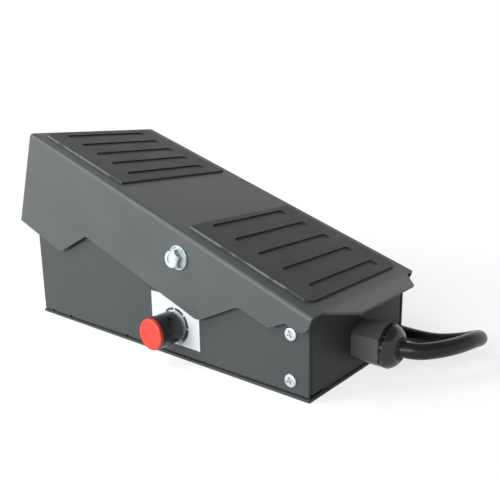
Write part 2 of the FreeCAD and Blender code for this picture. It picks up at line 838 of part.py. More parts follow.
def make_sector_gear():
    """Toothed arc centred on the lid's pivot, with a web and a foot under the lid."""
    pitch = 2.0 * math.pi / sector_teeth
    phase = math.radians(rest_tilt) + pitch / 2.0
    first = math.ceil((math.radians(sector_from) - phase) / pitch)
    last = math.floor((math.radians(sector_to) - phase) / pitch) + 1
    arc = involute_outline(sector_teeth, 0.8 * gear_module, 1.25 * gear_module, first, last, phase)
    outline = [vec(-sector_foot_half, 0.0, lid_under)] + arc + [vec(sector_foot_half, 0.0, lid_under)]
    outline.append(outline[0])
    low = gear_middle - sector_thickness / 2.0
    high = gear_middle + sector_thickness / 2.0
    plate = across(Part.Face(Part.makePolygon(outline)), low, high)
    opening = rounded_face([(-7.0, 4.0, 3.0), (8.0, 4.0, 3.0), (13.0, -29.0, 3.0), (-3.0, -29.0, 3.0)])
    window = across(opening, low - 1.0, high + 1.0)
    foot = box((-sector_foot_half, low, lid_under - sector_foot_thickness),
               (sector_foot_half, low + sector_foot_width, lid_under))
    return to_world(plate.cut(window).fuse(foot).removeSplitter())


gear_distance = gear_module * (sector_teeth + pinion_teeth) / 2.0
pinion_axis = vec(pivot.x, 0.0, pivot.z - gear_distance)


def make_drive_pinion():
    points = involute_outline(pinion_teeth, 0.9 * gear_module, 1.1 * gear_module, 0, pinion_teeth, math.pi)
    points.append(points[0])
    low = gear_middle - pinion_thickness / 2.0
    blank = across(Part.Face(Part.makePolygon(points)), low, low + pinion_thickness)
    blank.translate(pinion_axis)
    return blank.cut(rod(pot_shaft_radius, pinion_axis + vec(0, low - 1.0, 0), vec(0, 1, 0),
                         pinion_thickness + 2.0))


def make_main_pot_shaft():
    low = gear_middle - pinion_thickness / 2.0 - 0.5
    return rod(pot_shaft_radius, pinion_axis + vec(0, low, 0), vec(0, 1, 0),
               bracket_face + sheet + 5.0 - low)


def make_main_pot():
    """Larger potentiometer behind its bracket, neck through the bracket and lugs at the back."""
    back = bracket_face + sheet
    body = rod(pot_body_radius, pinion_axis + vec(0, back, 0), vec(0, 1, 0), pot_body_length)
    neck = rod(pot_bush_radius, pinion_axis + vec(0, bracket_face - 3.0, 0), vec(0, 1, 0), 3.0 + sheet)
    pot = body.fuse(neck)
    for step in (-pot_lug_pitch, 0.0, pot_lug_pitch):
        lug = box((pinion_axis.x + pot_body_radius - 2.0, back + 4.0, pinion_axis.z + step - 1.2),
                  (pinion_axis.x + pot_lug_reach, back + 4.7, pinion_axis.z + step + 1.2))
        pot = pot.fuse(lug)
    pot = pot.removeSplitter()
    return pot.cut(rod(pot_shaft_radius + running_clearance, pinion_axis + vec(0, bracket_face - 4.0, 0),
                       vec(0, 1, 0), 4.0 + sheet + 5.2))


def make_main_pot_nut():
    start = pinion_axis + vec(0, bracket_face, 0)
    nut = hex_prism(pot_nut_hex, start, vec(0, -1, 0), pot_nut_height, 0.0)
    return nut.cut(rod(pot_bush_radius + thread_clearance, start, vec(0, -1, 0), pot_nut_height))


def make_pot_bracket():
    """Bent steel angle that stands on the plate and holds the main potentiometer."""
    wall = box((pinion_axis.x - bracket_half_width, bracket_face, plate_top),
               (pinion_axis.x + bracket_half_width, bracket_face + sheet, pinion_axis.z + bracket_over_axis))
    foot = box((pinion_axis.x - bracket_half_width - bracket_side, bracket_face, plate_top),
               (pinion_axis.x - bracket_half_width, bracket_face + bracket_foot, plate_top + sheet))
    strap = box((pinion_axis.x - bracket_half_width - bracket_side, bracket_face, plate_top),
                (pinion_axis.x - bracket_half_width, bracket_face + sheet, pinion_axis.z + bracket_over_axis))
    bracket = wall.fuse([strap, foot]).removeSplitter()
    bracket = bracket.cut(rod(pot_bush_radius + thread_clearance, pinion_axis + vec(0, bracket_face - 1.0, 0),
                              vec(0, 1, 0), sheet + 2.0))
    return bracket


def make_bracket_rivets():
    rivets = []
    spots = [(pinion_axis.x - bracket_half_width - bracket_side / 2.0, bracket_face + 9.0),
             (switch_x + 6.0, switch_y + switch_depth + sheet + 8.0),
             (switch_x + switch_length - 6.0, switch_y + switch_depth + sheet + 8.0)]
    for x, y in spots:
        rivets.append(Part.makeCone(3.2, 2.2, 1.3, vec(x, y, plate_top + sheet), vec(0, 0, 1)))
    return Part.makeCompound(rivets)


switch_top = switch_z + switch_height
switch_holes = ((switch_x + 2.8, switch_z + 2.8), (switch_x + switch_length - 2.8, switch_top - 5.6))
lever_hinge = vec(switch_x + 3.0, switch_y + switch_depth / 2.0, switch_top + 1.6)


def make_start_switch():
    """Snap-action switch body with two lever ears, a plunger hole, two fixing holes and blade terminals."""
    body = box((switch_x, switch_y, switch_z),
               (switch_x + switch_length, switch_y + switch_depth, switch_top))

    def is_upright(middle, tangent):
        return abs(tangent.y) > 0.9
    body = fillet_where(body, 1.0, is_upright)
    for x, z in switch_holes:
        body = body.cut(rod(1.55, vec(x, switch_y - 1.0, z), vec(0, 1, 0), switch_depth + 2.0))
    ears = []
    for low in (switch_y + 0.8, switch_y + switch_depth - 1.8):
        ears.append(box((lever_hinge.x - 1.8, low, switch_top - 1.0),
                        (lever_hinge.x + 1.8, low + 1.0, switch_top + 3.0)))
    body = body.fuse(ears)
    for index in range(3):
        x = switch_x + 4.0 + index * 9.5
        body = body.fuse(box((x - 0.4, switch_y + 3.0, switch_z - 7.0),
                             (x + 0.4, switch_y + 7.3, switch_z + 1.0)))
    body = body.removeSplitter()
    body = body.cut(rod(plunger_radius + running_clearance,
                        vec(switch_x + 11.0, lever_hinge.y, switch_top - 4.0), vec(0, 0, 1), 10.0))
    return body.cut(rod(0.8 + running_clearance, vec(lever_hinge.x, switch_y - 1.0, lever_hinge.z),
                        vec(0, 1, 0), switch_depth + 2.0))


def make_switch_plunger():
    leaf_under = lever_hinge.z - lever_thickness / 2.0
    start = vec(switch_x + 11.0, lever_hinge.y, switch_top - 2.6)
    return rod(plunger_radius, start, vec(0, 0, 1), leaf_under - 0.05 - start.z)


def make_switch_lever():
    """Sprung steel leaf on a cross pin, with a rolled end under the lid's striker."""
    half = 2.9
    leaf = box((lever_hinge.x + 0.4, lever_hinge.y - half, lever_hinge.z - lever_thickness / 2.0),
               (lever_hinge.x + lever_length, lever_hinge.y + half, lever_hinge.z + lever_thickness / 2.0))
    pin = rod(0.8, vec(lever_hinge.x, switch_y + 0.9, lever_hinge.z), vec(0, 1, 0), switch_depth - 1.8)
    knuckle = rod(1.3, vec(lever_hinge.x, lever_hinge.y - half, lever_hinge.z), vec(0, 1, 0), 2.0 * half)
    roll = rod(1.4, vec(lever_hinge.x + lever_length, lever_hinge.y - half, lever_hinge.z), vec(0, 1, 0),
               2.0 * half)
    return leaf.fuse([pin, knuckle, roll]).removeSplitter()


def make_switch_bracket():
    face = switch_y + switch_depth
    wall = box((switch_x, face, plate_top), (switch_x + switch_length, face + sheet, switch_top - 2.0))
    foot = box((switch_x, face, plate_top), (switch_x + switch_length, face + 16.0, plate_top + sheet))
    bracket = wall.fuse(foot).removeSplitter()
    for x, z in switch_holes:
        bracket = bracket.cut(rod(1.55, vec(x, face - 1.0, z), vec(0, 1, 0), sheet + 2.0))
    return bracket


def make_switch_screws():
    screws = []
    for x, z in switch_holes:
        shank = rod(1.5, vec(x, switch_y, z), vec(0, 1, 0), switch_depth + sheet + 3.0)
        head = rod(2.7, vec(x, switch_y, z), vec(0, -1, 0), 1.8)
        nut = hex_prism(5.5, vec(x, switch_y + switch_depth + sheet, z), vec(0, 1, 0), 2.2)
        screws.append(head.fuse([shank, nut]).removeSplitter())
    return Part.makeCompound(screws)


def make_switch_striker():
    """Bent tab under the lid that holds the switch lever down while the pedal is at rest."""
    roll_top = vec(lever_hinge.x + lever_length, 0.0, lever_hinge.z + 1.4 + touch_gap)
    relative = roll_top - pivot
    angle = math.radians(rest_tilt)
    x = relative.x * math.cos(angle) - relative.z * math.sin(angle)
    z = relative.x * math.sin(angle) + relative.z * math.cos(angle)
    low_y = lever_hinge.y - 4.0
    high_y = lever_hinge.y + 4.0
    leg = box((x - sheet / 2.0, low_y, z + 0.1), (x + sheet / 2.0, high_y, lid_under))
    foot = box((x - 12.0, low_y, lid_under - sheet), (x + sheet / 2.0, high_y, lid_under))
    return to_world(leg.fuse(foot).removeSplitter())


def biarc_edges(points, tangents):
    """Two tangent arcs between each pair of points: the join lies midway between the two tangent
    handles, whose length d makes them meet at twice d."""
    edges = []
    for index in range(len(points) - 1):
        start = points[index]
        end = points[index + 1]
        leave = tangents[index]
        arrive = tangents[index + 1]
        chord = end - start
        both = leave + arrive
        a = 2.0 * (1.0 - leave.dot(arrive))
        b = 2.0 * chord.dot(both)
        c = chord.dot(chord)
        handle = (-b + math.sqrt(b * b + 4.0 * a * c)) / (2.0 * a)
        first_corner = start + leave * handle
        second_corner = end - arrive * handle
        join = (first_corner + second_corner) * 0.5
        for low, corner, high in ((start, first_corner, join), (join, second_corner, end)):
            middle = (low + high) * 0.5
            sag = middle - corner
            height = sag.Length
            half_chord = low.distanceToPoint(high) / 2.0
            radius = half_chord * handle / height
            reach = math.sqrt(radius * radius + handle * handle) - radius
            edges.append(Part.Arc(low, corner + sag * (reach / height), high).toShape())
    return edges


def sweep_round(edges, radius):
    """Round bar along a smooth chain of edges."""
    wire = Part.Wire(edges)
    first = edges[0]
    start = first.valueAt(first.FirstParameter)
    direction = first.tangentAt(first.FirstParameter)
    ring = Part.Wire([Part.makeCircle(radius, start, direction)])
    shell = wire.makePipeShell([ring], True, False)
    if shell.ShapeType != "Solid":
        shell = Part.Solid(shell)
    return shell


def make_return_spring():
    """Compression spring: closed end turns, then an even helix, in quarter turns."""
    seat = plate_top + seat_height - 3.0 + spring_wire / 2.0 + 0.1
    top = spring_top - spring_wire / 2.0 - 0.1
    quarter_turns = spring_turns * 4
    closed = 3
    dead_rise = (spring_wire + 0.25) / 4.0
    live = quarter_turns - 2 * closed
    live_rise = (top - seat - 2 * closed * dead_rise) / live
    points = []
    tangents = []
    height = seat
    for index in range(quarter_turns + 1):
        angle = index * math.pi / 2.0
        points.append(vec(spring_x + spring_radius * math.cos(angle), spring_radius * math.sin(angle),
                          height))
        rise = dead_rise if index < closed or index >= quarter_turns - closed else live_rise
        before = dead_rise if index <= closed or index > quarter_turns - closed else live_rise
        slope = (rise + before) / 2.0 / (spring_radius * math.pi / 2.0)
        tangent = vec(-math.sin(angle), math.cos(angle), slope)
        tangent.normalize()
        tangents.append(tangent)
        height += rise
    return sweep_round(biarc_edges(points, tangents), spring_wire / 2.0)


def make_spring_seat():
    """Moulded cup on the plate that holds the spring's foot."""
    cup = rod(seat_radius, vec(spring_x, 0, plate_top), vec(0, 0, 1), seat_height)
    well = rod(spring_radius + spring_wire / 2.0 + 0.5, vec(spring_x, 0, plate_top + seat_height - 3.0),
               vec(0, 0, 1), 5.0)
    boss = rod(spring_radius - spring_wire / 2.0 - 0.6, vec(spring_x, 0, plate_top), vec(0, 0, 1),
               seat_height + 4.0)
    return cup.cut(well).fuse(boss).removeSplitter()


def make_spring_cap():
    """Wedge block under the lid: its top lies along the lid, its lower face is level on the spring."""
    block = rod(seat_radius, vec(spring_x, 0, spring_top), vec(0, 0, 1), 40.0)
    boss = rod(spring_radius - spring_wire / 2.0 - 0.6, vec(spring_x, 0, spring_top - 5.0), vec(0, 0, 1),
               10.0)
    room = to_world(box((-lid_toe_reach, -40.0, -100.0), (lid_heel_reach, 40.0, lid_under)))
    return block.fuse(boss).removeSplitter().common(room)


def make_rest_stops():
    """Rubber blocks on the end panel's top return that the low end of the lid rests on."""
    stops = []
    room = to_world(box((0.0, -60.0, -100.0), (lid_heel_reach + 10.0, 60.0, lid_under - 0.1)))
    for side in (-1.0, 1.0):
        block = rod(rest_stop_radius, vec(heel - rest_stop_from_heel, side * 30.0, panel_height),
                    vec(0, 0, 1), 4.0 * rest_stop_height)
        stops.append(block.common(room))
    return Part.makeCompound(stops)


def make_press_stops():
    """Rubber buttons on the toe wall's lip that stop the lid at full travel."""
    stops = []
    residual = math.radians(rest_tilt - pedal_travel)
    x = toe + flange_width / 2.0 + 0.5
    reach = pivot.x - x
    top = pivot.z + lid_under * math.cos(residual) + reach * math.sin(residual) - 0.3
    for side in (-1.0, 1.0):
        stops.append(Part.makeCone(4.6, 3.8, top - base_wall_height, vec(x, side * 34.0, base_wall_height),
                                   vec(0, 0, 1)))
    return Part.makeCompound(stops)


# Cable gland
gland_axis = vec(1, 0, 0)
gland_middle = vec(heel, 0.0, gland_height)
nut_start = heel + gland_body_length + 0.3
dome_start = nut_start + gland_nut_hex_length
cable_exit = dome_start + gland_dome_length


def make_gland_body():
    """Threaded neck through the panel, hex collar outside it and a spigot inside the dome nut."""
    collar = hex_prism(gland_body_hex, gland_middle, gland_axis, gland_body_length, 0.0)
    neck = rod(gland_thread_radius, vec(heel - sheet - 10.0, 0, gland_height), gland_axis, sheet + 10.0)
    spigot = rod(gland_thread_radius, gland_middle + gland_axis * gland_body_length, gland_axis, 8.0)
    body = collar.fuse([neck, spigot]).removeSplitter()
    return body.cut(rod(cable_radius + 0.8, vec(heel - 20.0, 0, gland_height), gland_axis, 40.0))


def make_gland_locknut():
    start = vec(heel - sheet, 0, gland_height)
    nut = hex_prism(gland_body_hex, start, gland_axis * -1.0, locknut_height, 0.0)
    return nut.cut(rod(gland_thread_radius + thread_clearance / 2.0, start, gland_axis * -1.0,
                       locknut_height))


def make_gland_dome_nut():
    """Hex nut that runs out into a rounded dome with moulded grooves round it."""
    start = vec(nut_start, 0, gland_height)
    hexagon = hex_prism(gland_nut_hex, start, gland_axis, gland_nut_hex_length, 0.0)
    chamfer = Part.makeCone(gland_nut_hex * 0.56, gland_nut_hex * 0.60, 1.2, start, gland_axis)
    chamfer = chamfer.fuse(rod(gland_nut_hex * 0.60, start + gland_axis * 1.2, gland_axis,
                               gland_nut_hex_length))
    hexagon = hexagon.common(chamfer)
    profile = [
        Part.LineSegment(vec(dome_start, 0, 0), vec(dome_start, gland_dome_radius, 0)).toShape(),
        Part.LineSegment(vec(dome_start, gland_dome_radius, 0),
                         vec(dome_start + 2.4, gland_dome_radius, 0)).toShape(),
        Part.Arc(vec(dome_start + 2.4, gland_dome_radius, 0), vec(dome_start + 5.8, gland_dome_radius - 2.1, 0),
                 vec(cable_exit, gland_mouth_radius + 1.0, 0)).toShape(),
        Part.LineSegment(vec(cable_exit, gland_mouth_radius + 1.0, 0), vec(cable_exit, 0, 0)).toShape(),
        Part.LineSegment(vec(cable_exit, 0, 0), vec(dome_start, 0, 0)).toShape(),
    ]
    dome = Part.Face(Part.Wire(profile)).revolve(vec(0, 0, 0), vec(1, 0, 0), 360.0)
    dome.translate(vec(0, 0, gland_height))
    nut = hexagon.fuse(dome).removeSplitter()
    for index in range(gland_groove_count):
        angle = 2.0 * math.pi * index / gland_groove_count
        spoke = vec(0.0, math.cos(angle), math.sin(angle))
        start_point = vec(dome_start + 0.6, 0, gland_height) + spoke * (gland_dome_radius + 0.5)
        nut = nut.cut(rod(gland_groove_radius, start_point, gland_axis, 12.0))
    thread = rod(gland_thread_radius + thread_clearance, start, gland_axis, 8.2)
    mouth = rod(gland_mouth_radius, start, gland_axis, 40.0)
    return nut.cut(thread).cut(mouth)


def make_gland_seal():
    """Rubber sleeve squeezed on the cable, its lip showing in the dome's mouth."""
    start = vec(nut_start + 8.4, 0, gland_height)
    length = cable_exit - start.x + tail_proud
    return tube(gland_mouth_radius - 0.02, cable_radius, start, gland_axis, length)


def make_cable_tail():
    """The cable's end inside the base, through the gland."""
    start = vec(heel - sheet - tail_inside, 0, gland_height)
    return rod(cable_radius, start, gland_axis, cable_exit + tail_proud - start.x)


def cord_edges(points):
    """Straight runs joined by tangent arcs: each arc's radius is 0.45 of the shorter run divided by the
    tangent of half the turn."""
    edges = []
    radii = []
    start = points[0]
    for index in range(1, len(points) - 1):
        here = points[index]
        before = points[index - 1] - here
        after = points[index + 1] - here
        reach = 0.45 * min(before.Length, after.Length)
        half = before.getAngle(after) / 2.0
        radius = reach * math.tan(half)
        before.normalize()
        after.normalize()
        bisector = before + after
        bisector.normalize()
        arc_start = here + before * reach
        arc_end = here + after * reach
        middle = here + bisector * (radius / math.sin(half) - radius)
        edges.append(Part.LineSegment(start, arc_start).toShape())
        edges.append(Part.Arc(arc_start, middle, arc_end).toShape())
        radii.append(round(radius, 1))
        start = arc_end
    edges.append(Part.LineSegment(start, points[-1]).toShape())
    print("arc radii", radii)
    return edges


def make_cord(points):
    """Plain tube along a route, its volume compared with its section times its length."""
    edges = cord_edges(points)
    cord = sweep_round(edges, cable_radius)
    length = sum(edge.Length for edge in edges)
    print("length %.1f volume share %.4f" % (length, cord.Volume / (length * math.pi * cable_radius ** 2)))
    return cord


def coil_radius(turns):
    """Least radius plus one pitch for every turn away from the nearer inner reversal."""
    away = min(abs(turns - coil_reversals[0]), abs(turns - coil_reversals[2]))
    return coil_least_radius + coil_pitch * away


def coil_height(turns):
    """One pitch higher after each reversal, climbing evenly in the half turn around it."""
    height = coil_floor
    for place in coil_reversals:
        share = (turns - place) / climb_turns + 0.5
        height += coil_pitch * min(1.0, max(0.0, share))
    return height


coil_floor = cable_radius + tie_thickness + tie_slack
coil_start = vec(toe + coil_from_toe + cable_diameter, half_width + coil_entry_gap, coil_floor)
coil_middle = vec(coil_start.x - cable_diameter, coil_start.y + coil_radius(0.0), 0.0)


def coil_point(turns):
    """Place on the coil's centre line after a number of turns, clockwise from its near side."""
    angle = -math.pi / 2.0 - 2.0 * math.pi * turns
    radius = coil_radius(turns)
    return coil_middle + vec(radius * math.cos(angle), radius * math.sin(angle), coil_height(turns))


coil_end = coil_point(coil_turns) + vec(cable_diameter, 0, 0)


def make_cable():
    """Free stretch from the gland's mouth round the loop and along the base to the coil."""
    start = vec(cable_exit + tail_proud, 0.0, gland_height)
    points = [start]
    points += [vec(start.x + x - tail_proud, y, z) for x, y, z in loop_route]
    points += [vec(heel + x, half_width + y, z) for x, y, z in side_route]
    points.append(coil_start)
    return make_cord(points)


def least_self_gap(edges, diameter):
    """Least free space between stretches of a tube that are two and a half diameters apart along it."""
    spots = []
    travelled = 0.0
    for edge in edges:
        count = max(2, int(edge.Length / 4.0))
        for index in range(count):
            share = index / count
            parameter = edge.FirstParameter + share * (edge.LastParameter - edge.FirstParameter)
            spots.append((travelled + share * edge.Length, edge.valueAt(parameter)))
        travelled += edge.Length
    least = 1e9
    for first in range(len(spots)):
        place, spot = spots[first]
        for other_place, other in spots[first + 1:]:
            if other_place - place > 2.5 * diameter:
                least = min(least, spot.distanceToPoint(other))
    return least - diameter


def make_cable_coil():
    """Round coil in four layers, one unbroken tube of quarter turns, straight for a diameter at each end."""
    quarters = int(coil_turns * 4)
    points = [coil_point(index / 4.0) for index in range(quarters + 1)]
    tangents = []
    for index in range(quarters + 1):
        tangent = coil_point(index / 4.0 + 0.01) - coil_point(index / 4.0 - 0.01)
        tangent.normalize()
        tangents.append(tangent)
    tangents[0] = vec(-1, 0, 0)
    tangents[-1] = vec(1, 0, 0)
    edges = [Part.LineSegment(coil_start, points[0]).toShape()]
    edges += biarc_edges(points, tangents)
    edges.append(Part.LineSegment(points[-1], coil_end).toShape())
    gap = least_self_gap(edges, cable_diameter)
    length = sum(edge.Length for edge in edges)
    print("coil length %.1f least self gap %.2f wanted over %.1f" % (length, gap, least_gap_allowed))
    return sweep_round(edges, cable_radius)


def make_coil_tie():
    """Strap round the bundle of turns on the coil's inner side towards the cable end."""
    thick = tie_thickness
    low_x = coil_middle.x + coil_least_radius + 0.25 * coil_pitch - cable_radius - 1.2
    high_x = coil_middle.x + coil_least_radius + 1.75 * coil_pitch + cable_radius + tie_slack
    high_z = coil_floor + 3.0 * coil_pitch + cable_radius + tie_slack
    outer = rounded_face([(low_x - thick, 0.0, 3.0), (high_x + thick, 0.0, 3.0),
                          (high_x + thick, high_z + thick, 3.0), (low_x - thick, high_z + thick, 3.0)])
    inner = rounded_face([(low_x, thick, 2.0), (high_x, thick, 2.0),
                          (high_x, high_z, 2.0), (low_x, high_z, 2.0)])
    low_y = coil_middle.y - tie_width / 2.0
    high_y = coil_middle.y + tie_width / 2.0
    return across(outer, low_y, high_y).cut(across(inner, low_y - 1.0, high_y + 1.0))


def make_cable_end():
    """Free stretch from the coil's top layer down to the plug."""
    return make_cord([coil_end] + [coil_end + vec(x, y, z) for x, y, z in end_route])


plug_start = coil_end + vec(*end_route[-1])
plug_way = vec(1, 0, 0)


def plug_rod(radius, low, high):
    """Cylinder on the plug's axis between two distances from the cable's end."""
    return rod(radius, plug_start + plug_way * low, plug_way, high - low)


def make_plug_clamp():
    """Knurled nut that clamps the cable to the plug's neck."""
    body = plug_rod(clamp_radius, -clamp_back, clamp_front)
    rims = [edge for edge in body.Edges if edge.Curve.TypeId == "Part::GeomCircle"
            and edge.CenterOfMass.x < plug_start.x]
    body = body.makeFillet(1.5, rims)
    body = body.cut(plug_rod(cable_radius + thread_clearance, -clamp_back - 1.0, 0.0))
    return body.cut(plug_rod(neck_radius + thread_clearance / 2.0, 0.0, clamp_front + 1.0))


def make_plug_shell():
    """Rear shell: threaded neck for the clamp nut, smooth body and a cavity for the contacts."""
    neck = plug_rod(neck_radius, 0.0, clamp_front + 1.0)
    shoulder = Part.makeCone(clamp_radius, shell_radius, 2.0, plug_start + plug_way * (clamp_front + 0.2),
                             plug_way)
    body = plug_rod(shell_radius, clamp_front + 2.2, shell_front)
    shell = neck.fuse([shoulder, body]).removeSplitter()
    return shell.cut(plug_rod(barrel_radius + press_clearance, shell_front - cavity_depth, shell_front + 1.0))


def make_plug_barrel():
    """Front barrel with a key slot, seated in the shell, and the collar that keeps the ring on."""
    back = shell_front - barrel_seat
    collar_start = shell_front + ring_gap + ring_back_wall + ring_gap
    body = plug_rod(barrel_radius, back, barrel_front)
    collar = plug_rod(collar_radius, collar_start, collar_start + collar_thickness)
    barrel = body.fuse(collar).removeSplitter()
    barrel = barrel.cut(plug_rod(barrel_radius - barrel_wall, back - 1.0, barrel_front + 1.0))
    slot = box((plug_start.x + barrel_front - key_depth, plug_start.y - key_width / 2.0, plug_start.z),
               (plug_start.x + barrel_front + 1.0, plug_start.y + key_width / 2.0,
                plug_start.z + barrel_radius + 1.0))
    return barrel.cut(slot)


def make_plug_ring():
    """Coupling ring that turns on the barrel, with straight knurling grooves."""
    low = shell_front + ring_gap
    ring = plug_rod(ring_radius, low, low + ring_length)
    rims = [edge for edge in ring.Edges if edge.Curve.TypeId == "Part::GeomCircle"]
    ring = ring.makeFillet(0.6, rims)
    ring = ring.cut(plug_rod(barrel_radius + running_clearance, low - 1.0, low + ring_length))
    ring = ring.cut(plug_rod(ring_bore, low + ring_back_wall, low + ring_length + 1.0))
    for index in range(ring_grooves):
        angle = 2.0 * math.pi * (index + 0.5) / ring_grooves
        spoke = vec(0.0, math.cos(angle), math.sin(angle))
        ring = ring.cut(rod(0.45, plug_start + plug_way * (low + 1.5) + spoke * (ring_radius + 0.1), plug_way,
                            ring_length - 3.0))
    return ring


def pin_rods(radius, low, high):
    rods = []
    for index in range(pin_count):
        angle = 2.0 * math.pi * index / pin_count + math.pi / 2.0
        spoke = vec(0.0, math.cos(angle), math.sin(angle)) * pin_circle
        rods.append(rod(radius, plug_start + spoke + plug_way * low, plug_way, high - low))
    return rods


def make_plug_insulator():
    """Moulded disc that carries the five pins inside the barrel."""
    disc = plug_rod(barrel_radius - barrel_wall - press_clearance, insulator_back, insulator_front)
    return disc.cut(pin_rods(pin_radius + press_clearance, insulator_back - 1.0, insulator_front + 1.0))


def make_plug_pins():
    pins = []
    for pin in pin_rods(pin_radius, pin_back, pin_front):
        rims = [edge for edge in pin.Edges if edge.Curve.TypeId == "Part::GeomCircle"
                and edge.CenterOfMass.x > plug_start.x + pin_front - 0.1]
        pins.append(pin.makeFillet(0.4, rims))
    return Part.makeCompound(pins)


def main():
    os.makedirs("parts", exist_ok=True)
    nodes = {
        "base_shell": make_base_shell,
        "cable_end_panel": make_cable_end_panel,
        "bottom_plate": make_bottom_plate,
        "panel_screws": make_panel_screws,
        "panel_nuts": make_panel_nuts,
        "plate_screws": make_plate_screws,
        "plate_nuts": make_plate_nuts,
        "pedal_lid": make_lid,
        "upper_tread": make_upper_tread,
        "lower_tread": make_lower_tread,
        "pivot_bolts": make_pivot_bolts,
        "pivot_bushes": make_pivot_bushes,
        "pivot_nuts": make_pivot_nuts,
        "dial_label": make_dial_label,
        "limit_pot": make_limit_pot,
        "limit_pot_nut": make_limit_pot_nut,
        "limit_shaft": make_limit_shaft,
        "knob_body": make_knob_body,
        "knob_cap": make_knob_cap,
        "knob_set_screw": make_knob_set_screw,
        "sector_gear": make_sector_gear,
        "drive_pinion": make_drive_pinion,
        "main_pot_shaft": make_main_pot_shaft,
        "main_pot": make_main_pot,
        "main_pot_nut": make_main_pot_nut,
        "pot_bracket": make_pot_bracket,
        "bracket_rivets": make_bracket_rivets,
        "start_switch": make_start_switch,
        "switch_plunger": make_switch_plunger,
        "switch_lever": make_switch_lever,
        "switch_bracket": make_switch_bracket,
        "switch_screws": make_switch_screws,
        "switch_striker": make_switch_striker,
        "return_spring": make_return_spring,
        "spring_seat": make_spring_seat,
        "spring_cap": make_spring_cap,
        "rest_stops": make_rest_stops,
        "press_stops": make_press_stops,
        "gland_body": make_gland_body,
        "gland_locknut": make_gland_locknut,
        "gland_dome_nut": make_gland_dome_nut,
        "gland_seal": make_gland_seal,
        "cable_tail": make_cable_tail,
        "cable": make_cable,
        "cable_coil": make_cable_coil,
        "coil_tie": make_coil_tie,
        "cable_end": make_cable_end,
        "plug_clamp": make_plug_clamp,
        "plug_shell": make_plug_shell,
        "plug_barrel": make_plug_barrel,
        "plug_ring": make_plug_ring,
        "plug_insulator": make_plug_insulator,
        "plug_pins": make_plug_pins,
    }
    for name, maker in nodes.items():
        shape = maker()
        export(shape, name)
        print(name, "solids", len(shape.Solids), "volume %.1f" % shape.Volume, "valid", shape.isValid())


main()
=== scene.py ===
import math
import bpy
import numpy as np
from bpy.props import FloatProperty, FloatVectorProperty, IntProperty, PointerProperty
from bpy.types import Operator, Panel, PropertyGroup
from mathutils import Matrix, Vector


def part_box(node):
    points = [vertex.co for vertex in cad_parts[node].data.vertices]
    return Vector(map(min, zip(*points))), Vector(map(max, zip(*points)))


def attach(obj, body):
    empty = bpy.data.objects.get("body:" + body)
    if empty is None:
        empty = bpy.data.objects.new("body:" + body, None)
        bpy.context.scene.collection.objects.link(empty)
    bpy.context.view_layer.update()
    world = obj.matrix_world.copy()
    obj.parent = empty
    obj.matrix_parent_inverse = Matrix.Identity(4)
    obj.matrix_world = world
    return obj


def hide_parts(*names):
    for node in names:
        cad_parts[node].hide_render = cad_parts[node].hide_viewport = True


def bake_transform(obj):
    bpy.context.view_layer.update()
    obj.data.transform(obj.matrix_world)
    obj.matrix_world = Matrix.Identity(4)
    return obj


bl_info = {
    "name": "Foot Control Pedal",
    "version": (1, 0, 0),
    "blender": (4, 5, 0),
    "location": "3D View > Sidebar > Pedal",
    "description": "Finishes a sheet-steel foot pedal: coats, rubber, dial, drive, cable, plug and studio",
    "category": "Object",
}

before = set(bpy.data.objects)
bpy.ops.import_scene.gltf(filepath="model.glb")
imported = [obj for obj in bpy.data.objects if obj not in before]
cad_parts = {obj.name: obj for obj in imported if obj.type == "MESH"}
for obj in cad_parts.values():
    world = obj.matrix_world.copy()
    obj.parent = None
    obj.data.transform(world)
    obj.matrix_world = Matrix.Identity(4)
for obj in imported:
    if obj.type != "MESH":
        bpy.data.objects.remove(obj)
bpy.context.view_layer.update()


# Materials: small helpers that lay out shader nodes

class Shading:
    """A tree of shader nodes."""

    def __init__(self, tree):
        self.tree = tree

    def node(self, kind, values=None, **settings):
        """Add a node, set its attributes, and give each named input a value or another node's output."""
        made = self.tree.nodes.new("ShaderNode" + kind)
        for name, value in settings.items():
            setattr(made, name, value)
        for key, value in (values or {}).items():
            if isinstance(value, bpy.types.NodeSocket):
                self.tree.links.new(value, made.inputs[key])
            else:
                made.inputs[key].default_value = value
        return made

    def between(self, value, low, high, to_low=0.0, to_high=1.0, smooth=False):
        """Carry a value from one span to another, held at its ends."""
        made = self.node("MapRange", {"Value": value, "From Min": low, "From Max": high,
                                      "To Min": to_low, "To Max": to_high})
        made.interpolation_type = "SMOOTHSTEP" if smooth else "LINEAR"
        return made.outputs["Result"]

    def math(self, operation, first, second=0.0):
        return self.node("Math", {0: first, 1: second}, operation=operation).outputs["Value"]

    def seen(self):
        """1 for camera, glossy and transmission rays, 0 for the rest."""
        path = self.node("LightPath").outputs
        sharp = self.math("MAXIMUM", path["Is Glossy Ray"], path["Is Transmission Ray"])
        return self.math("MAXIMUM", path["Is Camera Ray"], sharp)


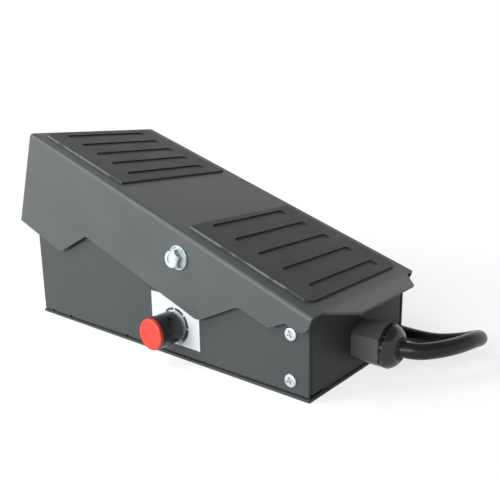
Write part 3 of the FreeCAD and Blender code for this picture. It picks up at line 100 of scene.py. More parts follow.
class Finish(Shading):
    """One procedural material: a Principled surface and the pattern nodes that feed it."""

    def __init__(self, name, colour, **sockets):
        self.material = bpy.data.materials.new(name)
        self.material.use_nodes = True
        self.material.diffuse_color = (*colour, 1.0)
        super().__init__(self.material.node_tree)
        self.surface = self.tree.nodes["Principled BSDF"]
        self.surface.inputs["Base Color"].default_value = (*colour, 1.0)
        for socket, value in sockets.items():
            self.surface.inputs[socket.replace("_", " ")].default_value = value

    def feed(self, socket, output):
        self.tree.links.new(output, self.surface.inputs[socket])

    def place(self, stretch=(1.0, 1.0, 1.0), turn=(0.0, 0.0, 0.0), shift=(0.0, 0.0, 0.0)):
        """Object coordinates in metres, turned and shifted. A stretch over 1 squeezes a pattern."""
        coordinates = self.node("TexCoord").outputs["Object"]
        mapping = self.node("Mapping", {"Vector": coordinates, "Scale": stretch, "Rotation": turn,
                                        "Location": shift}, vector_type="POINT")
        return mapping.outputs["Vector"]

    def uv(self, name, stretch=(1.0, 1.0, 1.0)):
        """A piece's own UV map, laid out in metres."""
        coordinates = self.node("UVMap", uv_map=name).outputs["UV"]
        return self.node("Mapping", {"Vector": coordinates, "Scale": stretch}).outputs["Vector"]

    def noise(self, where, size, detail=3.0, rough=0.5):
        """Cloudy noise from 0 to 1 whose spots are about a size across."""
        made = self.node("TexNoise", {"Vector": where, "Scale": 1.0 / size, "Detail": detail,
                                      "Roughness": rough})
        return made.outputs["Fac"]

    def cells(self, where, size):
        """Distance from the nearest of many scattered points, in cell sizes."""
        return self.node("TexVoronoi", {"Vector": where, "Scale": 1.0 / size}).outputs["Distance"]

    def colours(self, factor, first, second):
        """Blend two colours, each a triple or another node's output."""
        made = self.node("Mix", data_type="RGBA")
        for index, value in ((6, first), (7, second)):
            if isinstance(value, bpy.types.NodeSocket):
                self.tree.links.new(value, made.inputs[index])
            else:
                made.inputs[index].default_value = (*value, 1.0)
        self.tree.links.new(factor, made.inputs[0])
        return made.outputs[2]

    def mottle(self, spread, dark, pale, matt=None):
        """Let a noise carry the colour between two and, where matt is given, the roughness between two."""
        self.feed("Base Color", self.colours(spread, dark, pale))
        if matt is not None:
            self.feed("Roughness", self.between(spread, 0.3, 0.7, *matt))

    def relief(self, layers):
        """Chain bumps, each a height output and its depth in metres, into the surface's normal."""
        normal = None
        for height, depth in layers:
            bump = self.node("Bump", {"Height": height, "Distance": depth, "Strength": 1.0})
            if normal is not None:
                self.tree.links.new(normal, bump.inputs["Normal"])
            normal = bump.outputs["Normal"]
        self.feed("Normal", normal)


def shaded(colour, factor):
    """A colour made darker or lighter by a factor, held below 1."""
    return tuple(min(1.0, channel * factor) for channel in colour)


def dress(material, *names):
    """Give CAD nodes a material in every slot that they have."""
    for name in names:
        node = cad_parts[name]
        if not node.material_slots:
            node.data.materials.append(material)
        for place in node.material_slots:
            place.material = material


# Geometry: surfaces worked out on grids

def grid_piece(name, points, body, uv=None, close_u=False, close_v=True):
    """Mesh from a grid of points (rows u, columns v): each cell of four neighbours is a face, and a
    closed direction joins its last line to its first. A tube whose rows don't close gets a flat face over
    each end. uv holds a pair of metres for each grid point. A piece given None for its body is attached to
    no body."""
    rows, columns = points.shape[:2]
    last_row = rows if close_u else rows - 1
    last_column = columns if close_v else columns - 1
    row, column = np.meshgrid(np.arange(last_row), np.arange(last_column), indexing="ij")
    next_row = (row + 1) % rows
    next_column = (column + 1) % columns
    faces = np.stack([row * columns + column, next_row * columns + column,
                      next_row * columns + next_column, row * columns + next_column], axis=-1).reshape(-1, 4)
    faces = faces.tolist()
    if close_v and not close_u:
        faces += [list(range(columns)), list(range(rows * columns - 1, (rows - 1) * columns - 1, -1))]
    mesh = bpy.data.meshes.new(name)
    mesh.from_pydata(points.reshape(-1, 3).tolist(), [], faces)
    if uv is not None:
        around = np.stack([uv[row, column], uv[row + 1, column], uv[row + 1, column + 1],
                           uv[row, column + 1]], axis=-2).reshape(-1, 2)
        ends = np.concatenate([uv[0, :columns], uv[-1, columns - 1::-1]])
        layer = mesh.uv_layers.new(name="length_width")
        layer.data.foreach_set("uv", np.concatenate([around, ends]).reshape(-1).astype(np.float32))
    mesh.shade_smooth()
    piece = bpy.data.objects.new(name, mesh)
    bpy.context.scene.collection.objects.link(piece)
    if body is not None:
        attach(piece, body)
    return piece


def hull_loop(centres, radius, count):
    """Tight loop round equal discs, evenly spaced: in direction n the farthest disc's centre plus radius
    times n, joined by straight lines, then resampled at equal lengths. Returns points, outward normals and
    its length."""
    angle = np.linspace(0.0, 2.0 * np.pi, 2881)
    normal = np.stack([np.cos(angle), np.sin(angle)], axis=-1)
    farthest = np.argmax(normal @ centres.T, axis=1)
    edge = centres[farthest] + radius * normal
    steps = np.linalg.norm(np.diff(edge, axis=0), axis=1)
    travelled = np.concatenate([[0.0], np.cumsum(steps)])
    spots = np.linspace(0.0, travelled[-1], count, endpoint=False)
    points = np.stack([np.interp(spots, travelled, edge[:, axis]) for axis in (0, 1)], axis=-1)
    ahead = np.roll(points, -1, axis=0) - np.roll(points, 1, axis=0)
    ahead /= np.linalg.norm(ahead, axis=1, keepdims=True)
    return points, np.stack([ahead[:, 1], -ahead[:, 0]], axis=-1), travelled[-1]


def smoothstep(value, low, high):
    share = np.clip((value - low) / (high - low), 0.0, 1.0)
    return share * share * (3.0 - 2.0 * share)


def knurled_sleeve(name, node, axis, profile, knurl, settings, body):
    """Closed ring turned from a profile of (distance along X, radius) corners, with knurling between two of
    them. Where the knurl runs, the radius drops by depth times (1 - height): on a diamond knurl the height
    is the lower of two triangle waves, turns * count + x / pitch and turns * count - x / pitch, and on a
    straight knurl one wave, turns * count."""
    low, high, count, depth, diamond = knurl
    around = count * settings.knurl_samples
    corners = np.array(profile)
    closed = np.vstack([corners, corners[:1]])
    pieces = []
    for start, end in zip(closed[:-1], closed[1:]):
        fine = start[1] == end[1] and start[0] <= low + 1e-9 and end[0] >= high - 1e-9
        amount = int(round((high - low) / (depth * 0.62))) if fine else 3
        share = np.arange(amount)[:, None] / amount
        pieces.append(start + (end - start) * share)
    outline = np.vstack(pieces)
    turn = np.linspace(0.0, 1.0, around, endpoint=False)
    along, turns = np.meshgrid(outline[:, 0], turn, indexing="ij")
    radius = np.repeat(outline[:, 1:2], around, axis=1)
    pitch = 2.0 * np.pi * radius.max() / count
    slant = (along - low) / pitch if diamond else np.zeros_like(along)

    def wave(phase):
        return 1.0 - np.abs(2.0 * (phase - np.floor(phase)) - 1.0)
    height = np.minimum(np.minimum(wave(turns * count + slant), wave(turns * count - slant)) * 1.6, 1.0)
    inside = smoothstep(along, low, low + depth) * (1.0 - smoothstep(along, high - depth, high))
    outer = radius > radius.max() - 1e-6
    radius = radius - depth * (1.0 - height) * inside * outer
    angle = 2.0 * np.pi * turns
    points = np.stack([along, axis[1] + radius * np.cos(angle), axis[2] + radius * np.sin(angle)], axis=-1)
    piece = grid_piece(name, points, body, close_u=True)
    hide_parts(node)
    return piece


# Settings that a user would change

def swatch(name, description, value):
    return FloatVectorProperty(name=name, description=description, subtype="COLOR", default=value,
                               min=0.0, max=1.0)


def measure(name, description, value):
    return FloatProperty(name=name, description=description, default=value, unit="LENGTH", precision=5)


def amount(name, description, value, low=0.0, high=1.0):
    return FloatProperty(name=name, description=description, default=value, min=low, max=high)


def number(name, description, value, low, high):
    return IntProperty(name=name, description=description, default=value, min=low, max=high)


class CoatSettings(PropertyGroup):
    """Powder coat of the steel sheets, and the bright plate of the fasteners."""
    coat_colour: swatch("Coat colour", "Colour of the powder coat", (0.064, 0.071, 0.072))
    coat_roughness: amount("Coat roughness", "How matt the powder coat is", 0.43, 0.1)
    coat_grain: measure("Coat grain", "Width of the coat's fine bumps", 0.0009)
    plate_colour: swatch("Zinc colour", "Colour of the fasteners' zinc plate", (0.56, 0.63, 0.65))


class TreadSettings(PropertyGroup):
    """Moulded rubber of the two treads."""
    rubber_colour: swatch("Rubber colour", "Colour of the treads", (0.043, 0.047, 0.047))
    rubber_roughness: amount("Rubber roughness", "How matt the treads are", 0.52, 0.1)
    rubber_grain: measure("Rubber grain", "Width of the moulded grain", 0.0006)


class DialSettings(PropertyGroup):
    """Knob, cap and the printed scale round it."""
    cap_colour: swatch("Cap colour", "Colour of the knob's cap", (0.80, 0.055, 0.035))
    label_colour: swatch("Label colour", "Colour of the label's bare film", (0.80, 0.84, 0.88))
    ink_colour: swatch("Ink colour", "Colour of the printed scale", (0.045, 0.055, 0.075))
    scale_radius: measure("Scale radius", "Outer radius of the printed scale", 0.01125)
    scale_wide: measure("Scale at its widest", "Width of the scale's band at its full end", 0.0023)
    scale_narrow: measure("Scale at its narrowest", "Width of the scale's band at its low end", 0.0010)
    scale_gap: measure("Scale gap", "Width of the bare gaps that divide the scale", 0.0010)


class CableSettings(PropertyGroup):
    """The free cable, its coil and the strap that holds the coil."""
    sheath_diameter: measure("Cable diameter", "Outer diameter of the cable", 0.009)
    sheath_colour: swatch("Sheath colour", "Colour of the cable's sheath", (0.014, 0.015, 0.016))
    coil_least_radius: measure("Coil's least radius", "Radius of the innermost turns' middle line", 0.038)
    coil_pitch: measure("Coil pitch", "Distance between neighbouring turns", 0.0096)
    coil_turns: amount("Coil turns", "Number of turns in the coil", 8.5, 1.0, 20.0)
    points_per_turn: number("Points per turn", "Points of the cable's line in each turn", 16, 12, 32)
    strap_width: measure("Strap width", "Width of the strap round the coil", 0.016)
    strap_thickness: measure("Strap thickness", "Thickness of the strap round the coil", 0.0009)


class PlugSettings(PropertyGroup):
    """Round plug at the cable's end."""
    chrome_colour: swatch("Plating colour", "Colour of the plug's bright plate", (0.72, 0.72, 0.71))
    ring_knurls: number("Ring knurls", "Diamonds round the coupling ring", 44, 12, 80)
    clamp_knurls: number("Clamp knurls", "Ribs round the cable clamp", 36, 12, 80)
    knurl_depth: measure("Knurl depth", "Depth of the knurling", 0.00036)
    knurl_samples: number("Knurl samples", "Points across each knurl", 8, 4, 16)


class StudioSettings(PropertyGroup):
    """Floor, lamps and camera."""
    floor_size: measure("Floor size", "Side of the square floor", 8.0)
    floor_colour: swatch("Floor colour", "Colour of the floor", (0.40, 0.40, 0.40))
    floor_lift: amount("Floor lift", "How much paler the floor is seen than its own colour", 0.74)
    key_power: amount("Key lamp", "Power of the soft lamp before the near side", 7.4, 0.0, 100.0)
    low_power: amount("Low lamp", "Power of the low lamp off the toe end's near corner", 10.6, 0.0, 100.0)
    front_power: amount("Front lamp", "Power of the weak lamp before the cable end", 4.2, 0.0, 100.0)
    back_power: amount("Back lamp", "Power of the high lamp behind the toe end", 0.6, 0.0, 100.0)
    fill_level: amount("Fill", "Level of the light from all round", 0.18)
    lens: amount("Lens", "Camera's focal length on a 36 mm sensor, in millimetres", 42.70, 1.0, 500.0)


# Operators, one for each piece or group of like pieces

class PEDAL_OT_coated_steel(Operator):
    """Powder coat on the base, its plate and end panel, and the lid, painted darker on the base as painted
    shade and lighter on the lid as painted light
    """
    bl_idname = "pedal.coated_steel"
    bl_label = "Coat the Steel"

    def execute(self, context):
        settings = context.scene.pedal_coat
        colour = tuple(settings.coat_colour)
        grain = settings.coat_grain
        matt = settings.coat_roughness + 0.08
        # Painted light and shade on one powder coat: painted darker (x0.78) on the base shell and end panel
        # as painted shade, painted lighter (x1.28) on the lid as painted light, nearly plain (x0.95) on the
        # plate.
        dress(self.coat("black_powder_coat", shaded(colour, 0.78), grain, matt, 0.42).material, "base_shell")
        dress(self.coat("black_powder_coat_end", shaded(colour, 0.78), grain, matt, 0.22).material,
              "cable_end_panel")
        dress(self.coat("black_powder_coat_plate", shaded(colour, 0.95), grain, 0.6, 0.3).material,
              "bottom_plate")
        lid = self.coat("black_powder_coat_lid", shaded(colour, 1.28), grain, settings.coat_roughness, 0.42)
        self.scuff(lid)
        dress(lid.material, "pedal_lid")
        return {"FINISHED"}

    def coat(self, name, colour, grain, roughness, gloss):
        """Satin coat: orange peel in two sizes, faint clouds of colour and roughness, a few pale specks."""
        finish = Finish(name, colour, Roughness=roughness, Specular_IOR_Level=gloss)
        where = finish.place()
        peel = finish.noise(where, grain, 2.0)
        wave = finish.noise(where, grain * 4.5, 2.0)
        clouds = finish.noise(where, 0.030, 3.0)
        speck = finish.between(finish.cells(where, grain * 9.0), 0.045, 0.075, 1.0, 0.0, True)
        tone = finish.colours(clouds, shaded(colour, 0.86), shaded(colour, 1.16))
        faint = finish.math("MULTIPLY", speck, 0.35)
        finish.feed("Base Color", finish.colours(faint, tone, (0.16, 0.16, 0.15)))
        uneven = finish.math("ADD", finish.between(clouds, 0.3, 0.7, -0.035, 0.035),
                             finish.between(peel, 0.3, 0.7, roughness - 0.03, roughness + 0.03))
        finish.feed("Roughness", uneven)
        finish.relief([(wave, 0.000050), (peel, 0.000016)])
        return finish

    def scuff(self, finish):
        """Fine scratches across the lip at the low end, where shoes brush it, fading out up the slope."""
        where = finish.place()
        split = finish.node("SeparateXYZ", {"Vector": where})
        low_end = finish.between(split.outputs["X"], 0.122, 0.134, 0.0, 1.0, True)
        slanted = finish.place(stretch=(0.22, 1.0, 1.0), turn=(0.0, 0.0, 0.5))
        streaks = finish.noise(slanted, 0.0005, 3.0, 0.6)
        patches = finish.between(finish.noise(where, 0.006, 3.0), 0.46, 0.62, 0.0, 1.0, True)
        marks = finish.math("MULTIPLY", finish.between(streaks, 0.52, 0.66, 0.0, 1.0, True), patches)
        worn = finish.math("MULTIPLY", finish.math("MULTIPLY", marks, low_end), 0.55)
        plain = finish.surface.inputs["Base Color"].links[0].from_socket
        finish.feed("Base Color", finish.colours(worn, plain, (0.20, 0.20, 0.19)))


class PEDAL_OT_rubber_treads(Operator):
    """Moulded rubber on the treads, the stops and the gland's seal"""
    bl_idname = "pedal.rubber_treads"
    bl_label = "Mould the Rubber"

    def execute(self, context):
        settings = context.scene.pedal_tread
        colour = tuple(settings.rubber_colour)
        finish = Finish("tread_rubber", colour, Roughness=settings.rubber_roughness, Specular_IOR_Level=0.36)
        where = finish.place()
        grain = finish.noise(where, settings.rubber_grain, 2.0)
        clouds = finish.noise(where, 0.018, 4.0)
        dust = finish.between(finish.noise(where, 0.0012, 4.0, 0.7), 0.60, 0.72, 0.0, 0.22, True)
        tone = finish.colours(clouds, shaded(colour, 0.84), shaded(colour, 1.20))
        dusty = finish.colours(dust, tone, (0.13, 0.13, 0.125))
        # Painted highlight: a pale broken line along both long edges of the treads, standing in for light on
        # their side faces.
        finish.feed("Base Color", finish.colours(self.painted_edge_highlight(finish, where), dusty, (0.34, 0.34, 0.33)))
        finish.feed("Roughness", finish.between(clouds, 0.3, 0.7, settings.rubber_roughness - 0.06,
                                                settings.rubber_roughness + 0.06))
        finish.relief([(grain, 0.000030)])
        dress(finish.material, "upper_tread", "lower_tread")
        soft = Finish("stop_rubber", shaded(colour, 0.8), Roughness=0.7)
        fine = soft.noise(soft.place(), 0.0008, 3.0)
        soft.mottle(fine, shaded(colour, 0.65), shaded(colour, 0.95))
        soft.relief([(fine, 0.00004)])
        dress(soft.material, "rest_stops", "press_stops", "gland_seal")
        return {"FINISHED"}

    def painted_edge_highlight(self, finish, where):
        """1 in a thin broken line along the treads' long edges: a painted highlight, pale where the edges'
        side faces would catch the light.
        """
        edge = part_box("lower_tread")[1].y
        split = finish.node("SeparateXYZ", {"Vector": where})
        across = finish.math("ABSOLUTE", split.outputs["Y"])
        line = finish.between(across, edge - 0.0005, edge - 0.0003, 0.0, 0.45, True)
        patches = finish.between(finish.noise(where, 0.016, 3.0), 0.40, 0.52, 0.15, 1.0, True)
        return finish.math("MULTIPLY", line, patches)


class PEDAL_OT_fasteners(Operator):
    """Zinc plate on screws, bolts, nuts and brackets, and brass bushes"""
    bl_idname = "pedal.fasteners"
    bl_label = "Plate the Fasteners"

    def execute(self, context):
        colour = tuple(context.scene.pedal_coat.plate_colour)
        finish = Finish("bright_zinc", colour, Metallic=1.0, Roughness=0.45)
        where = finish.place()
        clouds = finish.noise(where, 0.0035, 3.0)
        grain = finish.noise(where, 0.00025, 2.0)
        tint = finish.colours(finish.between(clouds, 0.38, 0.62), shaded(colour, 0.92), shaded(colour, 1.10))
        finish.feed("Base Color", finish.colours(finish.between(grain, 0.3, 0.7, 0.0, 0.2), tint,
                                                 shaded(colour, 0.75)))
        finish.feed("Roughness", finish.between(clouds, 0.3, 0.7, 0.38, 0.52))
        finish.relief([(grain, 0.000012)])
        dress(finish.material, "panel_screws", "panel_nuts", "plate_screws", "plate_nuts", "pivot_bolts",
              "pivot_nuts", "limit_pot_nut", "main_pot_nut", "pot_bracket", "bracket_rivets",
              "switch_bracket", "switch_screws", "switch_striker")
        brass = Finish("turned_brass", (0.72, 0.56, 0.28), Metallic=1.0, Roughness=0.28)
        rings = brass.noise(brass.place(stretch=(1.0, 14.0, 1.0)), 0.0012, 3.0)
        brass.mottle(rings, (0.60, 0.44, 0.20), (0.80, 0.64, 0.34), (0.2, 0.36))
        brass.relief([(rings, 0.00001)])
        dress(brass.material, "pivot_bushes", "drive_pinion")
        return {"FINISHED"}


class PEDAL_OT_dial(Operator):
    """Printed label with its tapering scale, knob and cap"""
    bl_idname = "pedal.dial"
    bl_label = "Finish the Dial"

    scale_start = math.radians(-57.0)
    scale_sweep = math.radians(289.0)
    first_gap = math.radians(56.0)
    gap_step = math.radians(46.5)
    gapless = (math.radians(28.0), math.radians(30.0))
    edge_blur = 0.00006

    def execute(self, context):
        settings = context.scene.pedal_dial
        self.label(settings)
        self.knob(settings)
        return {"FINISHED"}

    def label(self, settings):
        """Tapering scale: a dark band round the knob's axis, its outer edge a circle and its width shrinking
        evenly with the angle, cut by bare gaps at even steps after its widest part."""
        low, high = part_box("knob_cap")
        middle = (low + high) / 2.0
        finish = Finish("label_film", tuple(settings.label_colour), Roughness=0.32, Coat_Weight=0.25,
                        Coat_Roughness=0.2)
        where = finish.place(shift=(-middle.x, 0.0, -middle.z))
        split = finish.node("SeparateXYZ", {"Vector": where})
        flat = finish.node("CombineXYZ", {"X": split.outputs["X"], "Z": split.outputs["Z"]})
        radius = finish.node("VectorMath", {0: flat.outputs["Vector"]}, operation="LENGTH").outputs["Value"]
        angle = finish.math("ARCTAN2", split.outputs["Z"], split.outputs["X"])
        past_start = finish.math("SUBTRACT", angle, self.scale_start)
        swept = finish.math("FLOORED_MODULO", past_start, 2.0 * math.pi)
        band = finish.between(swept, 0.0, self.scale_sweep, settings.scale_wide, settings.scale_narrow)
        soft = self.edge_blur
        outside = finish.math("SUBTRACT", radius, settings.scale_radius)
        below_top = finish.between(outside, -soft, soft, 1.0, 0.0, True)
        above_foot = finish.between(finish.math("ADD", outside, band), -soft, soft, 0.0, 1.0, True)
        past_end = finish.math("MULTIPLY", finish.math("SUBTRACT", swept, self.scale_sweep),
                               settings.scale_radius)
        in_sweep = finish.between(past_end, -soft, soft, 1.0, 0.0, True)
        phase = finish.math("DIVIDE", finish.math("SUBTRACT", swept, self.first_gap), self.gap_step)
        nearest = finish.math("ABSOLUTE", finish.math("SUBTRACT", phase, finish.math("ROUND", phase)))
        off_gap = finish.math("MULTIPLY", finish.math("MULTIPLY", nearest, self.gap_step),
                              settings.scale_radius)
        half = settings.scale_gap / 2.0
        kept = finish.between(off_gap, half - soft, half + soft, 0.0, 1.0, True)
        early = finish.between(swept, *self.gapless, 1.0, 0.0)
        kept = finish.math("MAXIMUM", kept, early)
        ink = finish.math("MULTIPLY", finish.math("MULTIPLY", below_top, above_foot),
                          finish.math("MULTIPLY", kept, in_sweep))
        mottle = finish.noise(finish.place(), 0.004, 3.0)
        bare = settings.label_colour
        film = finish.colours(mottle, shaded(bare, 0.95), shaded(bare, 1.03))
        finish.feed("Base Color", finish.colours(ink, film, tuple(settings.ink_colour)))
        finish.feed("Roughness", finish.between(mottle, 0.3, 0.7, 0.28, 0.38))
        finish.relief([(ink, 0.000012)])
        dress(finish.material, "dial_label")

    def knob(self, settings):
        body = Finish("knob_black", (0.022, 0.022, 0.024), Roughness=0.34)
        fine = body.noise(body.place(), 0.0007, 2.0)
        body.mottle(fine, (0.016, 0.016, 0.018), (0.030, 0.030, 0.032), (0.28, 0.42))
        body.relief([(fine, 0.00001)])
        dress(body.material, "knob_body")
        colour = tuple(settings.cap_colour)
        cap = Finish("cap_red", colour, Roughness=0.36, Subsurface_Weight=0.08)
        cap.surface.inputs["Subsurface Radius"].default_value = (0.0012, 0.0004, 0.0003)
        clouds = cap.noise(cap.place(), 0.003, 3.0)
        cap.mottle(clouds, shaded(colour, 0.93), shaded(colour, 1.07), (0.30, 0.42))
        cap.relief([(cap.noise(cap.place(), 0.0004, 2.0), 0.000006)])
        dress(cap.material, "knob_cap", "switch_plunger")


class PEDAL_OT_drive(Operator):
    """Geared sensor, start switch and the spring's seat and cap inside the base"""
    bl_idname = "pedal.drive"
    bl_label = "Finish the Inner Works"

    def execute(self, context):
        case = Finish("stamped_case", (0.60, 0.60, 0.58), Metallic=1.0, Roughness=0.38)
        brushed = case.noise(case.place(stretch=(1.0, 9.0, 1.0)), 0.0009, 3.0)
        case.mottle(brushed, (0.48, 0.48, 0.47), (0.68, 0.68, 0.66), (0.3, 0.46))
        case.relief([(brushed, 0.000012)])
        dress(case.material, "limit_pot", "limit_shaft", "main_pot", "main_pot_shaft")
        nylon = Finish("natural_nylon", (0.80, 0.78, 0.70), Roughness=0.5, Subsurface_Weight=0.15)
        nylon.surface.inputs["Subsurface Radius"].default_value = (0.0020, 0.0018, 0.0014)
        clouds = nylon.noise(nylon.place(), 0.006, 3.0)
        nylon.mottle(clouds, (0.74, 0.71, 0.62), (0.84, 0.82, 0.75))
        nylon.relief([(nylon.noise(nylon.place(), 0.0005, 2.0), 0.00001)])
        dress(nylon.material, "sector_gear")
        resin = Finish("switch_resin", (0.05, 0.05, 0.053), Roughness=0.45)
        grain = resin.noise(resin.place(), 0.0006, 2.0)
        resin.mottle(grain, (0.035, 0.035, 0.038), (0.065, 0.065, 0.068))
        resin.relief([(grain, 0.000015)])
        dress(resin.material, "start_switch", "spring_seat", "spring_cap", "plug_insulator")
        steel = Finish("spring_steel", (0.42, 0.42, 0.43), Metallic=1.0, Roughness=0.33)
        oil = steel.noise(steel.place(), 0.0025, 3.0)
        drawn = steel.noise(steel.place(stretch=(1.0, 1.0, 12.0)), 0.0020, 2.0)
        steel.mottle(oil, (0.30, 0.30, 0.31), (0.48, 0.48, 0.50), (0.24, 0.42))
        steel.relief([(drawn, 0.00001)])
        dress(steel.material, "switch_lever", "knob_set_screw")
        return {"FINISHED"}


class PEDAL_OT_return_spring(Operator):
    """Return spring wound from one wire, attached to no body"""
    bl_idname = "pedal.return_spring"
    bl_label = "Wind the Return Spring"

    wire = 0.0022
    turns = 9
    closed_turns = 0.75
    closed_rise = 0.00245
    opening_turns = 0.25
    turn_samples = 32
    wire_samples = 14
    held_height = 0.006

    def execute(self, context):
        """The wire's middle line rises by closed_rise a turn at both ends and evenly between them. Each
        section is a circle on the outward direction and on outward x along."""
        low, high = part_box("return_spring")
        middle = (low + high) / 2.0
        radius = (high.x - low.x - self.wire) / 2.0
        turn = np.linspace(0.0, self.turns, self.turns * self.turn_samples + 1)
        from_end = np.minimum(turn, self.turns - turn)
        open_share = smoothstep(from_end, self.closed_turns - self.opening_turns,
                                self.closed_turns + self.opening_turns)
        closed_height = 2.0 * self.closed_turns * self.closed_rise
        open_rise = (high.z - low.z - self.wire - closed_height) / (self.turns - 2.0 * self.closed_turns)
        rise = self.closed_rise + (open_rise - self.closed_rise) * open_share
        climbed = np.cumsum((rise[1:] + rise[:-1]) / 2.0) / self.turn_samples
        height = low.z + self.wire / 2.0 + np.concatenate([[0.0], climbed])
        angle = 2.0 * np.pi * turn
        outward = np.stack([np.cos(angle), np.sin(angle), np.zeros_like(angle)], axis=-1)
        round_once = 2.0 * np.pi * radius
        along = np.stack([-np.sin(angle) * round_once, np.cos(angle) * round_once, rise], axis=-1)
        along /= np.linalg.norm(along, axis=1, keepdims=True)
        side = np.cross(outward, along)
        line = np.array([middle.x, middle.y, 0.0]) + radius * outward
        line[:, 2] = height
        round_wire = np.linspace(0.0, 2.0 * np.pi, self.wire_samples, endpoint=False)[None, :, None]
        points = line[:, None, :] + self.wire / 2.0 * (np.cos(round_wire) * outward[:, None, :]
                                                       + np.sin(round_wire) * side[:, None, :])
        spring = grid_piece("wound_spring", points, None)
        spring.data.materials.append(bpy.data.materials["spring_steel"])
        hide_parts("return_spring")
        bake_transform(spring)
        return {"FINISHED"}


class PEDAL_OT_gland(Operator):
    """Black nylon of the cable gland, fine-grained on its flats and polished on its dome, with the flats
    painted lighter as painted light and the dome painted darker as painted shade
    """
    bl_idname = "pedal.gland"
    bl_label = "Mould the Gland"

    dome_start = 0.1367
    dome_blur = 0.0004

    def execute(self, context):
        finish = Finish("gland_nylon", (0.042, 0.045, 0.045), Roughness=0.25)
        where = finish.place()
        clouds = finish.noise(where, 0.004, 3.0)
        fine = finish.noise(where, 0.0005, 2.0)
        split = finish.node("SeparateXYZ", {"Vector": where})
        dome = finish.between(split.outputs["X"], self.dome_start - self.dome_blur,
                              self.dome_start + self.dome_blur, 0.0, 1.0, True)
        # Painted light and shade: the same black nylon is painted much lighter on the hex flats, where light
        # falls on them, and darker on the dome.
        flats_painted_light = finish.colours(clouds, (0.098, 0.105, 0.103), (0.124, 0.132, 0.130))
        dome_painted_shade = finish.colours(clouds, (0.012, 0.014, 0.014), (0.018, 0.020, 0.020))
        finish.feed("Base Color", finish.colours(dome, flats_painted_light, dome_painted_shade))
        finish.feed("Roughness", finish.math("ADD", finish.between(clouds, 0.3, 0.7, -0.04, 0.04),
                                             finish.between(dome, 0.0, 1.0, 0.50, 0.16)))
        finish.relief([(clouds, 0.00003), (fine, 0.00001)])
        dress(finish.material, "gland_body", "gland_locknut", "gland_dome_nut")
        return {"FINISHED"}


class PEDAL_OT_power_cable(Operator):
    """One smooth cable: from the gland round its loop, along the base, through the coil and to the plug"""
    bl_idname = "pedal.power_cable"
    bl_label = "Lay the Cable"

    gland_mouth = (0.1449, 0.0, 0.0185)
    loop = ((0.1525, 0.0, 0.0185), (0.1610, 0.0095, 0.0188), (0.1675, 0.0225, 0.0190),
            (0.1706, 0.0355, 0.0190), (0.1706, 0.0465, 0.0165))
    beside_base = ((0.1662, 0.0560, 0.0130), (0.1565, 0.0595, 0.0080), (0.1420, 0.0568, 0.0045),
                   (0.1270, 0.0558, 0.0045), (0.1060, 0.0595, 0.0045), (0.0700, 0.0660, 0.0045),
                   (0.0300, 0.0702, 0.0045), (-0.0100, 0.0710, 0.0045), (-0.0500, 0.0686, 0.0048),
                   (-0.0780, 0.0670, 0.0058), (-0.0960, 0.0670, 0.0058))
    coil_middle = (-0.1050, 0.1290)
    coil_floor = 0.0058
    coil_reversals = (2.5, 4.5, 6.5)
    climb_turns = 0.5
    to_plug = ((-0.0960, 0.1862, 0.0346), (-0.0880, 0.1862, 0.0346), (-0.0775, 0.1867, 0.0304),
               (-0.0676, 0.1872, 0.0223), (-0.0577, 0.1872, 0.0140), (-0.0472, 0.1868, 0.00935),
               (-0.0362, 0.1868, 0.00935))

    @classmethod
    def layers(cls, settings, turns):
        """Radius and height of the coil after some turns: the radius is the least radius plus a pitch for
        every turn away from the nearer inner reversal, and the height a pitch more after each reversal."""
        first, _, last = cls.coil_reversals
        away = np.minimum(np.abs(turns - first), np.abs(turns - last))
        climbed = sum(np.clip((turns - place) / cls.climb_turns + 0.5, 0.0, 1.0)
                      for place in cls.coil_reversals)
        return (settings.coil_least_radius + settings.coil_pitch * away,
                cls.coil_floor + settings.coil_pitch * climbed)

    def coil(self, settings):
        """Points of the coil: angle -90 degrees minus a full circle for each turn, and radius and height
        from layers(). The points stand a little outside, because a spline runs inside its points by the
        cosine of half a step."""
        count = int(round(settings.coil_turns * settings.points_per_turn))
        turns = (np.arange(count) + 0.5) * settings.coil_turns / count
        radius, height = self.layers(settings, turns)
        radius = radius / math.cos(math.pi / settings.points_per_turn)
        angle = -0.5 * np.pi - 2.0 * np.pi * turns
        return np.stack([self.coil_middle[0] + radius * np.cos(angle),
                         self.coil_middle[1] + radius * np.sin(angle), height], axis=-1)

    def execute(self, context):
        settings = context.scene.pedal_cable
        points = np.vstack([np.array([self.gland_mouth]), np.array(self.loop), np.array(self.beside_base),
                            self.coil(settings), np.array(self.to_plug)])
        curve = bpy.data.curves.new("power_cable", "CURVE")
        curve.dimensions = "3D"
        spline = curve.splines.new("NURBS")
        spline.points.add(len(points) - 1)
        spline.points.foreach_set("co", np.column_stack([points, np.ones(len(points))]).reshape(-1))
        spline.order_u = 3
        spline.use_endpoint_u = True
        spline.resolution_u = 6
        curve.resolution_u = 6
        curve.bevel_depth = settings.sheath_diameter / 2.0
        curve.bevel_resolution = 7
        curve.use_fill_caps = True
        cable = bpy.data.objects.new("power_cable", curve)
        context.scene.collection.objects.link(cable)
        curve.materials.append(self.sheath(settings).material)
        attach(cable, "base")
        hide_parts("cable", "cable_coil", "cable_end")
        dress(bpy.data.materials["cable_sheath"], "cable_tail")
        return {"FINISHED"}

    def sheath(self, settings):
        """Satin sheath with a faint grain, slow dents from the wires inside and slightly uneven gloss."""
        colour = tuple(settings.sheath_colour)
        finish = Finish("cable_sheath", colour, Roughness=0.29, Specular_IOR_Level=0.26)
        where = finish.place()
        clouds = finish.noise(where, 0.012, 3.0)
        dents = finish.noise(where, 0.006, 1.0)
        grain = finish.noise(where, 0.0006, 2.0)
        finish.mottle(clouds, shaded(colour, 0.75), shaded(colour, 1.35), (0.24, 0.34))
        finish.relief([(dents, 0.00016), (grain, 0.000012)])
        return finish


